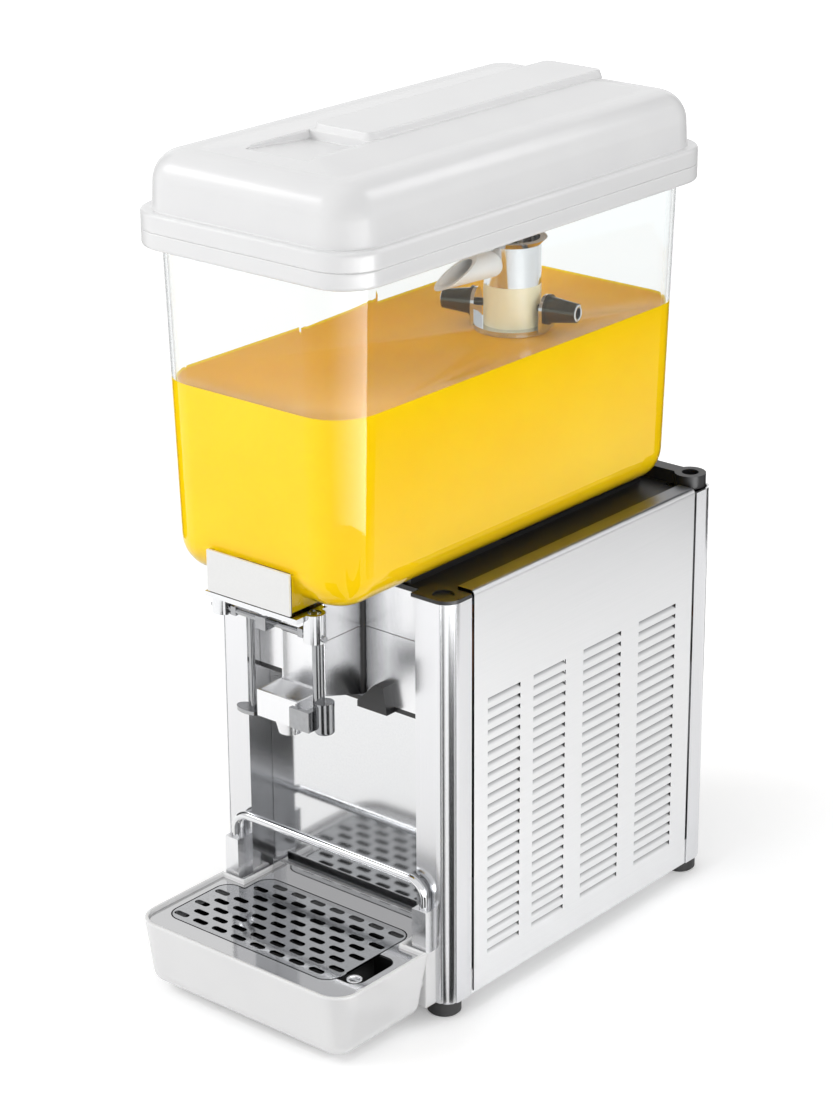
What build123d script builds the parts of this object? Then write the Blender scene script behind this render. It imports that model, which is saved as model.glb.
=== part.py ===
"""Single-bowl chilled juice dispenser with a sprayed bowl, a lever tap and a drip tray.

Millimetres, +Z up, the front faces -Y. The origin is at the middle of the footprint, on the counter.
"""

import math
import os

from build123d import *

os.makedirs("parts", exist_ok=True)

# Cabinet
cabinet_width = 240.0
cabinet_depth = 345.0
tray_reach = 116.0  # the drip tray stands out this far ahead of the posts
knob_reach = 15.0  # the thermostat knob stands out this far behind the posts
foot_height = 13.0
foot_diameter = 27.0
foot_chamfer = 1.5
post_top = 350.0
post_width = 33.0
post_depth = 27.0
post_wall = 2.0
post_corner = 13.5
post_flute = 1.1
sheet = 1.0
seam_gap = 0.3  # between fixed sheet parts that don't touch
pan_sheet = 1.5
pan_flange = 22.0

# Side and rear panels
panel_gap = 3.0  # shadow line between a post and a side panel
panel_bottom = 15.5
side_top = 354.5
side_bend = 4.0
side_flange = 16.0
louvre_height = 4.4
louvre_depth = 3.0  # the strips lean inward this far at their upper edge
louvre_pitch = 9.0
louvre_rows = 25
louvre_start = 43.0
louvre_columns = ((46.5, 40.0), (103.0, 41.0), (167.0, 50.0), (241.0, 51.0))  # start behind the front, length
rear_panel_top = 345.0
rear_slot_length = 62.0
rear_slot_rows = 14
rear_slot_start = 70.0
rear_slot_spacing = 78.0

# Front
fascia_recess = 15.0
fascia_sheet = 1.2
fascia_seam = 306.0
fascia_bottom = 246.0
seam_width = 0.6
splash_recess = 25.8
trim_height = 4.0
block_reach = 10.0  # the black blocks beside the nose stand out this far from the fascia
block_gap = 2.0
block_inner_top = 247.0
block_shoulder = 41.0
block_outer_top = 50.0
block_outer = 54.0
block_top = 264.0
nose_width = 44.0
nose_reach = 31.5
nose_wall = 1.6
nose_round = 3.0
nose_top = 345.0
nose_front_bottom = 262.0
nose_rear_bottom = 248.0

# Deck
deck_thickness = 4.0
pad_half_width = 68.0
pad_front = 18.0
pad_step = 128.0
pad_rear = 322.0
pad_height = 6.0
pad_corner = 16.0
plinth_height = 3.0  # the rear part of the bowl's floor stands this much lower
front_lug_height = 3.0
rear_lug_height = 11.0
front_lug_lap = 4.0  # the front lugs reach this far over the deck plate
lug_recess_diameter = 17.0
lug_recess_depth = 2.0
rear_lug_diameter = 26.0
rear_lug_bore = 14.0
rear_lug_neck = 13.0

# Bowl, collar and lid
bowl_width = 179.7
bowl_length = 412.0
bowl_overhang = 82.5  # the bowl's floor starts this far ahead of the posts
bowl_corner = 32.0
bowl_base_radius = 28.0
bowl_draft = 1.8
bowl_wall = 3.0
bowl_flange_side = 6.0
bowl_flange_end = 1.5
bowl_flange_height = 4.0
collar_width = 222.0
collar_length = 437.0
collar_corner = 34.0
collar_bottom = 608.0
collar_top = 621.4
collar_round = 3.5
collar_gap = 0.4
juice_level = 507.4
juice_gap = 0.2
lid_band_top = 635.5
lid_inset = 7.0
lid_shoulder = 679.0
lid_draft = 3.0
lid_corner = 31.0
lid_round = 24.0
lid_wall = 2.5
lid_seam = 0.6
lid_band_round = 2.5
roof_half_width = 71.0
roof_margin = 30.0
roof_top = 684.0
roof_flat_half_width = 34.0
roof_end_slope = 18.5
roof_corner = 14.0
lid_panel_half_width = 30.0
lid_panel_top = 689.0
lid_panel_front = 22.0
lid_panel_rear = 306.0
lid_panel_corner = 8.0
lid_panel_draft = 20.0
recess_half_width = 30.0
recess_length = 94.0
recess_depth = 7.0
lid_lip = 4.0  # the lid's inner lip drops this far into the bowl
lid_lip_wall = 2.5
lid_lip_gap = 1.0

# Spray column in the bowl
column_x = 34.0
column_behind_front = 180.5
column_base_radius = 30.0
column_base_height = 4.0
column_lift = 0.5  # the base stands this far above the juice
column_diameter = 45.0
column_wall = 2.0
column_height = 33.0
sleeve_height = 36.0
sleeve_lip = 4.5
ear_radius = 11.5
ear_thickness = 3.0
ear_distance = 31.0
nozzle_height = 14.5
nozzle_headings = (12.0, 202.0)  # degrees from +X
nozzle_large_radius = 10.5
nozzle_small_radius = 7.5
nozzle_length = 23.0
nozzle_bore = 1.5
nozzle_mouth_radius = 5.0
nozzle_mouth_depth = 8.0
nozzle_stem_radius = 3.0
nozzle_flange = 2.0
nozzle_flange_radius = 12.0
spout_tube_diameter = 20.0
spout_tube_wall = 2.0
spout_tube_reach = 80.0
spout_tube_slant = 40.0  # length of the slanted end
spout_tube_height = 18.0
spout_tube_turn = 8.0
riser_diameter = 24.0
riser_wall = 3.0
pump_housing_diameter = 54.0
pump_housing_height = 22.0
pump_housing_wall = 2.5
pump_slot_width = 8.0
pump_slot_height = 6.0
impeller_diameter = 42.0
impeller_disc = 3.0
impeller_vane_height = 7.0
impeller_vanes = 6
impeller_hub_diameter = 10.0
impeller_vane_thickness = 2.0
spindle_diameter = 5.0
running_gap = 0.05  # radial clearance of a shaft in its bore
lift_gap = 0.35  # radial clearance of round parts that lift apart

# Evaporator
evaporator_x = -12.0
evaporator_behind_front = 75.0
evaporator_diameter = 80.0
evaporator_height = 124.0
evaporator_wall = 1.2
evaporator_round = 18.0
evaporator_flange = 8.0
evaporator_flange_thickness = 3.0
gasket_wall = 3.5
gasket_plug_gap = 0.2
gasket_flange = 5.0
gasket_thickness = 3.0

# Tap
box_half_width = 41.0
box_proud = 4.0  # the spout box stands this far ahead of the bowl
box_depth = 41.0
box_bottom = 349.0
neck_behind_box_front = 19.5
neck_bore = 16.0
neck_wall = 2.0
neck_length = 3.0
cover_thickness = 2.0
cover_bottom = 351.0
cover_half_width = 41.5
bracket_thickness = 4.0
bracket_depth = 34.0
bushing_x = 46.5
bushing_diameter = 17.0
bushing_height = 23.0
bushing_recess_diameter = 11.0
bushing_recess_depth = 5.0
rod_diameter = 5.0
rod_height = 330.0
rod_half_length = 57.0
crank_width = 5.0
crank_height = 7.0
arm_x = 34.0
arm_back = 17.0  # the arms hang this far behind the rod
thin_arm_diameter = 4.5
thick_arm_diameter = 9.0
tab_length = 26.0
tab_width = 15.0
tab_thickness = 3.0
tab_base = 240.0
tab_shift = 3.0
catch_left = 17.0
catch_thickness = 4.0
catch_gap = 1.5  # between the lever's block and the hopper
catch_base = 247.0
catch_height = 16.5
handle_shift = 5.5
handle_diameter = 15.5
handle_base = 243.5
handle_height = 25.5
handle_round = 2.0
cam_rise = 6.0  # from the rod's axis to the cam's flat
cam_drop = 4.0
cam_depth = 18.0
cam_width = 10.0
hopper_half_width = 21.0
hopper_depth = 28.0
hopper_top = 266.0
hopper_bottom = 244.0
hopper_wall = 2.0
nozzle_bottom = 232.0
nozzle_top_radius = 12.0
nozzle_bottom_radius = 9.0
outlet_bore = 12.0
funnel_width = 18.0
funnel_depth = 14.5
stem_diameter = 6.0
stem_gap = 0.3  # between the closed cam and the stem's foot
stem_foot_diameter = 14.0
stem_foot_height = 2.0
valve_head_diameter = 17.0
valve_head_height = 12.0
seal_diameter = 20.0
seal_thickness = 2.0
cage_diameter = 24.0
cage_wall = 1.5
cage_height = 31.0
cage_roof = 3.0
cage_window_width = 14.0
cage_window_height = 12.0
stem_headroom = 4.5  # free space above the cage for the rising stem

# Drip tray
tray_half_width = 109.0
tray_top = 63.5
tray_bottom = 7.0
tray_rear_gap = 13.0
tray_corner = 22.0
tray_draft = 7.0
tray_wall = 3.0
tray_step = 2.0  # shoulder in the wall that the liner rests on
tray_base_radius = 12.0
tray_rim_round = 1.2
tongue_half_width = 85.5
tongue_depth = 21.0  # the tray reaches this far in between the posts
tongue_bottom = 28.0
boss_width = 18.0
boss_depth = 18.0
boss_height = 40.0
liner_sheet = 1.0
liner_gap = 0.5
ledge_height = 60.5
pocket_gap = 1.2  # round the grid, which lies flush in the liner
well_left = -88.0
well_right = 97.0
well_front = 84.0  # ahead of the posts, like the other places of the tray
well_rear = 34.0
well_tongue_half_width = 72.0
well_tongue_rear = 2.0
well_floor = 34.0
well_corner = 10.0
upstand_top = 72.0
upstand_half_width = 80.0
grid_thickness = 2.0
grid_left = -96.0
grid_right = 77.0
grid_front = 92.0
grid_step = 21.5
grid_rear = -6.0
grid_notch = 19.5
grid_corner = 12.0
grid_slot_length = 14.5
grid_slot_width = 6.0
grid_slot_pitch = 20.5
grid_row_pitch = 11.7
grid_rows = 8
grid_columns = 8
grid_first_row = 8.0
drain_x = 85.0
drain_ahead = 72.0
drain_diameter = 11.0
drain_bore = 5.0
drain_height = 17.0
upright_x = 99.0
upright_width = 14.0
upright_depth = 12.0
upright_top = 96.0
hanger_top = 60.0
peg_diameter = 7.0
peg_length = 22.0
peg_gap = 0.4
peg_height = 34.0
rail_diameter = 7.0
rail_height = 117.5
rail_bend = 14.0
rail_seat = 12.0
seat_gap = 0.05

# Cooling and drive parts inside the cabinet
compressor_diameter = 104.0
compressor_height = 135.0
compressor_side_gap = 7.0
compressor_behind_front = 240.0
compressor_round = 26.0
compressor_seam = 4.0
compressor_seam_height = 62.0
compressor_plate = 122.0
compressor_plate_thickness = 3.0
mount_diameter = 18.0
mount_height = 10.0
condenser_side_gap = 10.0
condenser_thickness = 26.0
condenser_length = 170.0
condenser_height = 170.0
condenser_front = 120.0
condenser_fin = 1.6
condenser_fins = 22
condenser_plate = 2.0
condenser_tube_diameter = 8.0
condenser_tubes = 4
shroud_depth = 16.0
fan_diameter = 150.0
fan_tip_gap = 4.0
fan_hub_diameter = 36.0
fan_hub_length = 14.0
fan_blades = 5
fan_blade_thickness = 2.0
fan_blade_pitch = 26.0
fan_blade_chord = 30.0
fan_motor_diameter = 52.0
fan_motor_length = 32.0
fan_shaft_diameter = 6.0
fan_strut = 8.0
pump_motor_diameter = 58.0
pump_motor_height = 56.0
pump_motor_drop = 10.0
pump_flange = 76.0
pump_flange_thickness = 3.0
standoff_diameter = 7.0
magnet_diameter = 46.0
magnet_height = 8.0
magnet_gap = 1.5
magnet_drop = 3.0
drive_shaft_diameter = 6.0
drive_shaft_depth = 12.0
pipe_diameter = 8.0
pipe_bend = 14.0
stub_x = 14.0  # places of the compressor's two stubs, from its axis
stub_y = 12.0
discharge_rise = 50.0
liquid_ahead = 38.0
liquid_drop = 46.0
liquid_shift = 20.0
suction_side = 26.0
suction_shift = 7.0
suction_drop = 106.0
cup_rise = 80.0  # the pipes end this far up in the evaporator

# Controls on the rear panel
control_height = 300.0
switch_spacing = 30.0
switch_side = 65.0
switch_width = 14.0
switch_height = 22.0
switch_bezel = 3.0
switch_bezel_thickness = 2.0
switch_body_depth = 18.0
switch_wall = 1.5
rocker_gap = 0.5
rocker_reach = 3.0
rocker_depth = 9.0
rocker_pin_diameter = 3.0
rocker_tip = 10.0
rocker_back = 5.0
rocker_back_tip = 8.0
rocker_tilt = 8.0  # the rockers stand switched off, top edge out
knob_side = 80.0
knob_diameter = 34.0
knob_height = 14.0
knob_flutes = 12
knob_flute_radius = 2.4
knob_hole_gap = 1.0
knob_shaft_diameter = 6.0
thermostat_size = 40.0
thermostat_depth = 28.0
gland_side = 65.0
gland_height = 48.0
gland_diameter = 22.0
gland_bore = 9.0
gland_reach = 10.0
gland_thread_diameter = 16.0
gland_thread_length = 12.0
screw_head_diameter = 7.0
screw_head_height = 1.6
screw_shank_diameter = 3.4
screw_shank_length = 4.0
screw_gap = 0.2
screw_x = 70.0
screw_low = 26.0
screw_high = 335.0
deck_lip_height = 18.0
deck_lip_thickness = 3.0

# Places worked out from the sizes above
overall_depth = tray_reach + cabinet_depth + knob_reach
front = tray_reach - overall_depth / 2
rear = front + cabinet_depth
half = cabinet_width / 2
post_x = half - post_width / 2
front_post_y = front + post_depth / 2
rear_post_y = rear - post_depth / 2
post_inner = half - post_width
corner_points = [(sx * post_x, y) for sx in (-1, 1) for y in (front_post_y, rear_post_y)]
fascia_y = front + fascia_recess
splash_y = front + splash_recess
deck_bottom = post_top - deck_thickness
bowl_y = front - bowl_overhang + bowl_length / 2
bowl_floor = post_top + pad_height
bowl_top = collar_top
bowl_spread = math.tan(math.radians(bowl_draft))
column = (column_x, front + column_behind_front)
evaporator_centre = (evaporator_x, front + evaporator_behind_front)
box_front = front - bowl_overhang - box_proud
box_rear = box_front + box_depth
neck = (0.0, box_front + neck_behind_box_front)
rod_y = neck[1]
compressor_x = compressor_side_gap + compressor_plate / 2 - half
condenser_x = half - condenser_side_gap - condenser_thickness
switch_x = switch_side - half
knob_x = half - knob_side
gland_x = half - gland_side
tray_front = front - tray_reach
tray_rear = front - tray_rear_gap
tongue_rear = front + tongue_depth


def rising_form(inset, top):
    """The bowl's outer form, or a form inside it by an inset, up to a height."""
    with BuildPart() as form:
        with BuildSketch(Plane.XY.offset(bowl_floor + inset)):
            with Locations((0, bowl_y)):
                RectangleRounded(bowl_width - 2 * inset, bowl_length - 2 * inset, bowl_corner - inset)
        extrude(amount=top - bowl_floor - inset, taper=-bowl_draft)
        fillet(form.faces().sort_by(Axis.Z)[0].edges(), bowl_base_radius - inset)
    return form.part


# Corner posts: fluted aluminium extrusions, rounded on the outer corner and hollow
for side, sx in (("left", -1), ("right", 1)):
    for end, sy, post_y in (("front", -1, front_post_y), ("rear", 1, rear_post_y)):
        corner_centre = (sx * (half - post_corner), post_y + sy * (post_depth / 2 - post_corner))
        flute_angles = [math.radians(angle) for angle in (22.0, 68.0)]
        flutes = [
            (
                corner_centre[0] + sx * post_corner * math.cos(angle),
                corner_centre[1] + sy * post_corner * math.sin(angle),
            )
            for angle in flute_angles
        ]
        with BuildPart() as post:
            with BuildSketch(Plane.XY.offset(foot_height)) as profile:
                with Locations((sx * post_x, post_y)):
                    Rectangle(post_width, post_depth)
                fillet(max(profile.vertices(), key=lambda v: sx * v.X + sy * v.Y), post_corner)
                offset(amount=-post_wall, mode=Mode.SUBTRACT)
                with Locations(*flutes):
                    Circle(post_flute, mode=Mode.SUBTRACT)
            extrude(amount=post_top - foot_height)
        post.part.label = f"corner_post_{end}_{side}"
        export_step(post.part, f"parts/corner_post_{end}_{side}.step")

# Rubber feet under the posts
with BuildPart() as feet:
    with BuildSketch():
        with Locations(*corner_points):
            Circle(foot_diameter / 2)
    extrude(amount=foot_height)
    chamfer(feet.faces().filter_by(Axis.Z).group_by(Axis.Z)[0].edges(), foot_chamfer)
feet.part.label = "feet"
export_step(feet.part, "parts/feet.step")

# Base pan: a folded tray between the panels, notched round the rear posts
pan_front = front + post_depth
pan_rear = rear - sheet
with BuildPart() as base_pan:
    with BuildSketch(Plane.XY.offset(foot_height)) as pan_plan:
        with Locations((0, (pan_front + pan_rear) / 2)):
            Rectangle(cabinet_width - 2 * sheet, pan_rear - pan_front)
        with Locations((-post_x, rear_post_y), (post_x, rear_post_y)):
            Rectangle(post_width + 2 * seam_gap, post_depth + 2 * seam_gap, mode=Mode.SUBTRACT)
    extrude(amount=pan_flange)
    with BuildSketch(Plane.XY.offset(foot_height + pan_sheet)):
        add(pan_plan.sketch_local)
        offset(amount=-pan_sheet, kind=Kind.INTERSECTION, mode=Mode.REPLACE)
    extrude(amount=pan_flange, mode=Mode.SUBTRACT)
    with BuildSketch(Plane.XZ.offset(-pan_rear)):
        with Locations((-screw_x, screw_low), (screw_x, screw_low)):
            Circle(screw_shank_diameter / 2 + screw_gap)
    extrude(amount=pan_sheet, mode=Mode.SUBTRACT)
base_pan.part.label = "base_pan"
export_step(base_pan.part, "parts/base_pan.step")

# Side panels: folded over the deck's edge at the top, with four columns of louvres
side_front = front + post_depth + panel_gap
side_rear = rear - post_depth - panel_gap
louvre_middle = louvre_start + louvre_pitch * (louvre_rows - 1) / 2
for side, sx in (("left", -1), ("right", 1)):
    outer_x = sx * half
    inner_x = sx * (half - sheet)
    lip_x = sx * (half - side_flange)
    lip_back_x = sx * (half - side_flange + sheet)
    with BuildPart() as side_panel:
        with BuildSketch(Plane.XZ.offset(-side_rear)) as fold:
            with BuildLine():
                Polyline(
                    (outer_x, panel_bottom),
                    (outer_x, side_top),
                    (lip_x, side_top),
                    (lip_x, post_top),
                    (lip_back_x, post_top),
                    (lip_back_x, side_top - sheet),
                    (inner_x, side_top - sheet),
                    (inner_x, panel_bottom),
                    close=True,
                )
            make_face()
            bends = fold.vertices().group_by(Axis.Y)[-1] + fold.vertices().group_by(Axis.Y)[-2]
            bends.sort(key=lambda v: sx * v.X)
            fillet(bends[-1], side_bend)
            fillet(min(fold.vertices(), key=lambda v: abs(v.X - inner_x) + abs(v.Y - side_top + sheet)),
                   side_bend - sheet)
        extrude(amount=side_rear - side_front)
        with BuildSketch(Plane.YZ.offset(sx * (half - sheet / 2))):
            for start, length in louvre_columns:
                with Locations((front + start + length / 2, louvre_middle)):
                    with GridLocations(0, louvre_pitch, 1, louvre_rows):
                        Rectangle(length, louvre_height)
        extrude(amount=2 * sheet, both=True, mode=Mode.SUBTRACT)
        for start, length in louvre_columns:
            with BuildSketch(Plane.XZ.offset(-front - start - length)):
                with Locations((outer_x, louvre_middle - louvre_height / 2)):
                    with GridLocations(0, louvre_pitch, 1, louvre_rows):
                        Polygon(
                            (0, 0),
                            (-sx * louvre_depth, louvre_height),
                            (-sx * (louvre_depth + sheet), louvre_height),
                            (-sx * sheet, 0),
                            align=None,
                        )
            extrude(amount=length)
    side_panel.part.label = f"side_panel_{side}"
    export_step(side_panel.part, f"parts/side_panel_{side}.step")

# Rear panel with its vent slots and the openings for the controls
rear_half_width = post_inner - seam_gap
switch_places = [(switch_x, control_height), (switch_x + switch_spacing, control_height)]
screw_places = [(sx * screw_x, z) for sx in (-1, 1) for z in (screw_low, screw_high)]
with BuildPart() as rear_panel:
    with BuildSketch(Plane.XZ.offset(-rear)):
        with Locations((0, (panel_bottom + rear_panel_top) / 2)):
            Rectangle(2 * rear_half_width, rear_panel_top - panel_bottom)
        rear_slot_middle = rear_slot_start + louvre_pitch * (rear_slot_rows - 1) / 2
        with Locations((0, rear_slot_middle)):
            with GridLocations(rear_slot_spacing, louvre_pitch, 2, rear_slot_rows):
                Rectangle(rear_slot_length, louvre_height, mode=Mode.SUBTRACT)
        with Locations(*switch_places):
            Rectangle(switch_width + 2 * switch_wall, switch_height + 2 * switch_wall, mode=Mode.SUBTRACT)
        with Locations((knob_x, control_height)):
            Circle(knob_shaft_diameter / 2 + knob_hole_gap, mode=Mode.SUBTRACT)
        with Locations((gland_x, gland_height)):
            Circle(gland_thread_diameter / 2, mode=Mode.SUBTRACT)
        with Locations(*screw_places):
            Circle(screw_shank_diameter / 2 + screw_gap, mode=Mode.SUBTRACT)
    extrude(amount=sheet)
rear_panel.part.label = "rear_panel"
export_step(rear_panel.part, "parts/rear_panel.step")

# Splash panel behind the cup space, polished like a mirror
splash_top = fascia_bottom - trim_height
with BuildPart() as splash_panel:
    with BuildSketch(Plane.XZ.offset(-splash_y - fascia_sheet)):
        with Locations((0, (panel_bottom + splash_top) / 2)):
            Rectangle(2 * rear_half_width, splash_top - panel_bottom)
    extrude(amount=fascia_sheet)
splash_panel.part.label = "splash_panel"
export_step(splash_panel.part, "parts/splash_panel.step")

# Black strip that closes the step below the fascia, with a block on each side of the nose
with BuildPart() as fascia_trim:
    with BuildSketch(Plane.XY.offset(splash_top)):
        with Locations((0, (fascia_y + splash_y + fascia_sheet) / 2)):
            Rectangle(2 * rear_half_width, splash_y + fascia_sheet - fascia_y)
    extrude(amount=trim_height)
    with BuildSketch(Plane.XZ.offset(-fascia_y)):
        for sx in (-1, 1):
            Polygon(
                (sx * (nose_width / 2 + block_gap), splash_top),
                (sx * (nose_width / 2 + block_gap), block_inner_top),
                (sx * block_shoulder, block_top),
                (sx * block_outer_top, block_top),
                (sx * block_outer, splash_top),
                align=None,
            )
    extrude(amount=block_reach)
fascia_trim.part.label = "fascia_trim"
export_step(fascia_trim.part, "parts/fascia_trim.step")

# Nose housing: an upper and a lower shell, each a fascia with half of the nose
nose_front = front - nose_reach
nose_back = fascia_y + fascia_sheet
nose_inner_front = nose_front + nose_wall
nose_shells = (
    ("nose_upper", fascia_seam + seam_width, deck_bottom),
    ("nose_lower", fascia_bottom, fascia_seam),
)
for name, low, high in nose_shells:
    with BuildPart() as nose:
        with BuildSketch(Plane.XZ.offset(-nose_back)):
            with Locations((0, (low + high) / 2)):
                Rectangle(2 * rear_half_width, high - low)
        extrude(amount=fascia_sheet)
        with BuildSketch(Plane.YZ):
            with BuildLine():
                Polyline(
                    (nose_back, nose_rear_bottom),
                    (nose_front, nose_front_bottom),
                    (nose_front, nose_top),
                    (nose_back, nose_top),
                    close=True,
                )
            make_face()
            with Locations((nose_front + nose_reach, (low + high) / 2)):
                Rectangle(4 * nose_reach, high - low, mode=Mode.INTERSECT)
        extrude(amount=nose_width / 2, both=True)
        fillet(nose.edges().filter_by(Axis.Z).group_by(Axis.Y)[0], nose_round)
        with BuildSketch(Plane.YZ):
            with BuildLine():
                Polyline(
                    (nose_back, nose_rear_bottom + nose_wall),
                    (nose_inner_front, nose_front_bottom + nose_wall),
                    (nose_inner_front, nose_top - nose_wall),
                    (nose_back, nose_top - nose_wall),
                    close=True,
                )
            make_face()
        extrude(amount=nose_width / 2 - nose_wall, both=True, mode=Mode.SUBTRACT)
    nose.part.label = name
    export_step(nose.part, f"parts/{name}.step")

# Pouring spout on the nose: an open hopper that ends in a nozzle
hopper_y = nose_front - hopper_depth / 2
with BuildPart() as pouring_spout:
    with BuildSketch(Plane.XY.offset(hopper_bottom)):
        with Locations((0, hopper_y)):
            Rectangle(2 * hopper_half_width, hopper_depth)
    extrude(amount=hopper_top - hopper_bottom)
    with BuildSketch(Plane.XY.offset(hopper_top)):
        with Locations((0, hopper_y)):
            Rectangle(2 * (hopper_half_width - hopper_wall), hopper_depth - 2 * hopper_wall)
    with BuildSketch(Plane.XY.offset(hopper_bottom + hopper_wall)):
        with Locations((0, hopper_y)):
            Rectangle(funnel_width, funnel_depth)
    loft(mode=Mode.SUBTRACT)
    with BuildSketch(Plane.XY.offset(hopper_bottom)):
        with Locations((0, hopper_y)):
            Circle(nozzle_top_radius)
    with BuildSketch(Plane.XY.offset(nozzle_bottom)):
        with Locations((0, hopper_y)):
            Circle(nozzle_bottom_radius)
    loft()
    with BuildSketch(Plane.XY.offset(nozzle_bottom)):
        with Locations((0, hopper_y)):
            Circle(outlet_bore / 2)
    extrude(amount=hopper_bottom + hopper_wall - nozzle_bottom, mode=Mode.SUBTRACT)
pouring_spout.part.label = "pouring_spout"
export_step(pouring_spout.part, "parts/pouring_spout.step")

# Deck: the black moulded top, with lugs that cap the posts and a stepped pad for the bowl
deck_front = fascia_y
deck_rear = rear - sheet
with BuildPart() as deck:
    with BuildSketch(Plane.XY.offset(deck_bottom)):
        with Locations((0, (deck_front + deck_rear) / 2)):
            Rectangle(cabinet_width - 2 * (sheet + seam_gap), deck_rear - deck_front)
        with Locations(*corner_points):
            Rectangle(post_width + 2 * seam_gap, post_depth + 2 * seam_gap, mode=Mode.SUBTRACT)
    extrude(amount=deck_thickness)
    with BuildSketch(Plane.XY.offset(post_top)):
        with Locations((0, front + (pad_front + pad_rear) / 2)):
            RectangleRounded(2 * pad_half_width, pad_rear - pad_front, pad_corner)
    extrude(amount=pad_height - plinth_height)
    with BuildSketch(Plane.XY.offset(post_top)):
        with Locations((0, front + (pad_front + pad_step) / 2)):
            Rectangle(2 * pad_half_width, pad_step - pad_front)
    extrude(amount=pad_height)
    for sx in (-1, 1):
        with BuildSketch(Plane.XY.offset(post_top)) as front_lug:
            with Locations((sx * (post_x - front_lug_lap / 2), front_post_y)):
                Rectangle(post_width + front_lug_lap, post_depth)
            fillet(max(front_lug.vertices(), key=lambda v: sx * v.X - v.Y), post_corner)
        extrude(amount=front_lug_height)
        with BuildSketch(Plane.XY.offset(post_top + front_lug_height - lug_recess_depth)):
            with Locations((sx * post_x, front_post_y)):
                Circle(lug_recess_diameter / 2)
        extrude(amount=lug_recess_depth, mode=Mode.SUBTRACT)
        with BuildSketch(Plane.XY.offset(post_top)):
            with Locations((sx * post_x, rear_post_y)):
                Circle(rear_lug_diameter / 2)
            with Locations((sx * (post_x - rear_lug_diameter), rear_post_y)):
                Rectangle(2 * rear_lug_diameter, rear_lug_neck)
            with Locations((sx * post_x, rear_post_y)):
                Circle(rear_lug_bore / 2, mode=Mode.SUBTRACT)
        extrude(amount=rear_lug_height)
    with BuildSketch(Plane.XY.offset(deck_bottom)):
        with Locations(evaporator_centre):
            Circle(evaporator_diameter / 2 + lift_gap)
        with Locations(column):
            Circle(magnet_diameter / 2 + magnet_gap)
    extrude(amount=deck_thickness + pad_height, mode=Mode.SUBTRACT)
    with BuildSketch(Plane.XY.offset(deck_bottom - deck_lip_height)):
        with Locations((0, deck_rear - deck_lip_thickness / 2)):
            Rectangle(2 * rear_half_width, deck_lip_thickness)
    extrude(amount=deck_lip_height)
    with BuildSketch(Plane.XZ.offset(-deck_rear)):
        with Locations((-screw_x, screw_high), (screw_x, screw_high)):
            Circle(screw_shank_diameter / 2 + screw_gap)
    extrude(amount=deck_lip_thickness, mode=Mode.SUBTRACT)
deck.part.label = "deck"
export_step(deck.part, "parts/deck.step")

# Evaporator: a drawn stainless cup that stands up through the bowl's floor
with BuildPart() as evaporator:
    with BuildSketch(Plane.XY.offset(deck_bottom)):
        with Locations(evaporator_centre):
            Circle(evaporator_diameter / 2)
    extrude(amount=evaporator_height)
    fillet(evaporator.faces().sort_by(Axis.Z)[-1].edges(), evaporator_round)
    offset(amount=-evaporator_wall, openings=evaporator.faces().sort_by(Axis.Z)[0])
    with BuildSketch(Plane.XY.offset(deck_bottom - evaporator_flange_thickness)):
        with Locations(evaporator_centre):
            Circle(evaporator_diameter / 2 + evaporator_flange)
            Circle(evaporator_diameter / 2 - evaporator_wall, mode=Mode.SUBTRACT)
    extrude(amount=evaporator_flange_thickness)
evaporator.part.label = "evaporator"
export_step(evaporator.part, "parts/evaporator.step")

# Gasket in the bowl's floor, round the evaporator
gasket_bore = evaporator_diameter / 2 + lift_gap
gasket_radius = gasket_bore + gasket_wall
with BuildPart() as bowl_gasket:
    with BuildSketch(Plane.XY.offset(bowl_floor)):
        with Locations(evaporator_centre):
            Circle(gasket_radius)
            Circle(gasket_bore, mode=Mode.SUBTRACT)
    extrude(amount=bowl_wall)
    with BuildSketch(Plane.XY.offset(bowl_floor + bowl_wall)):
        with Locations(evaporator_centre):
            Circle(gasket_radius + gasket_flange)
            Circle(gasket_bore, mode=Mode.SUBTRACT)
    extrude(amount=gasket_thickness)
bowl_gasket.part.label = "bowl_gasket"
export_step(bowl_gasket.part, "parts/bowl_gasket.step")

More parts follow.
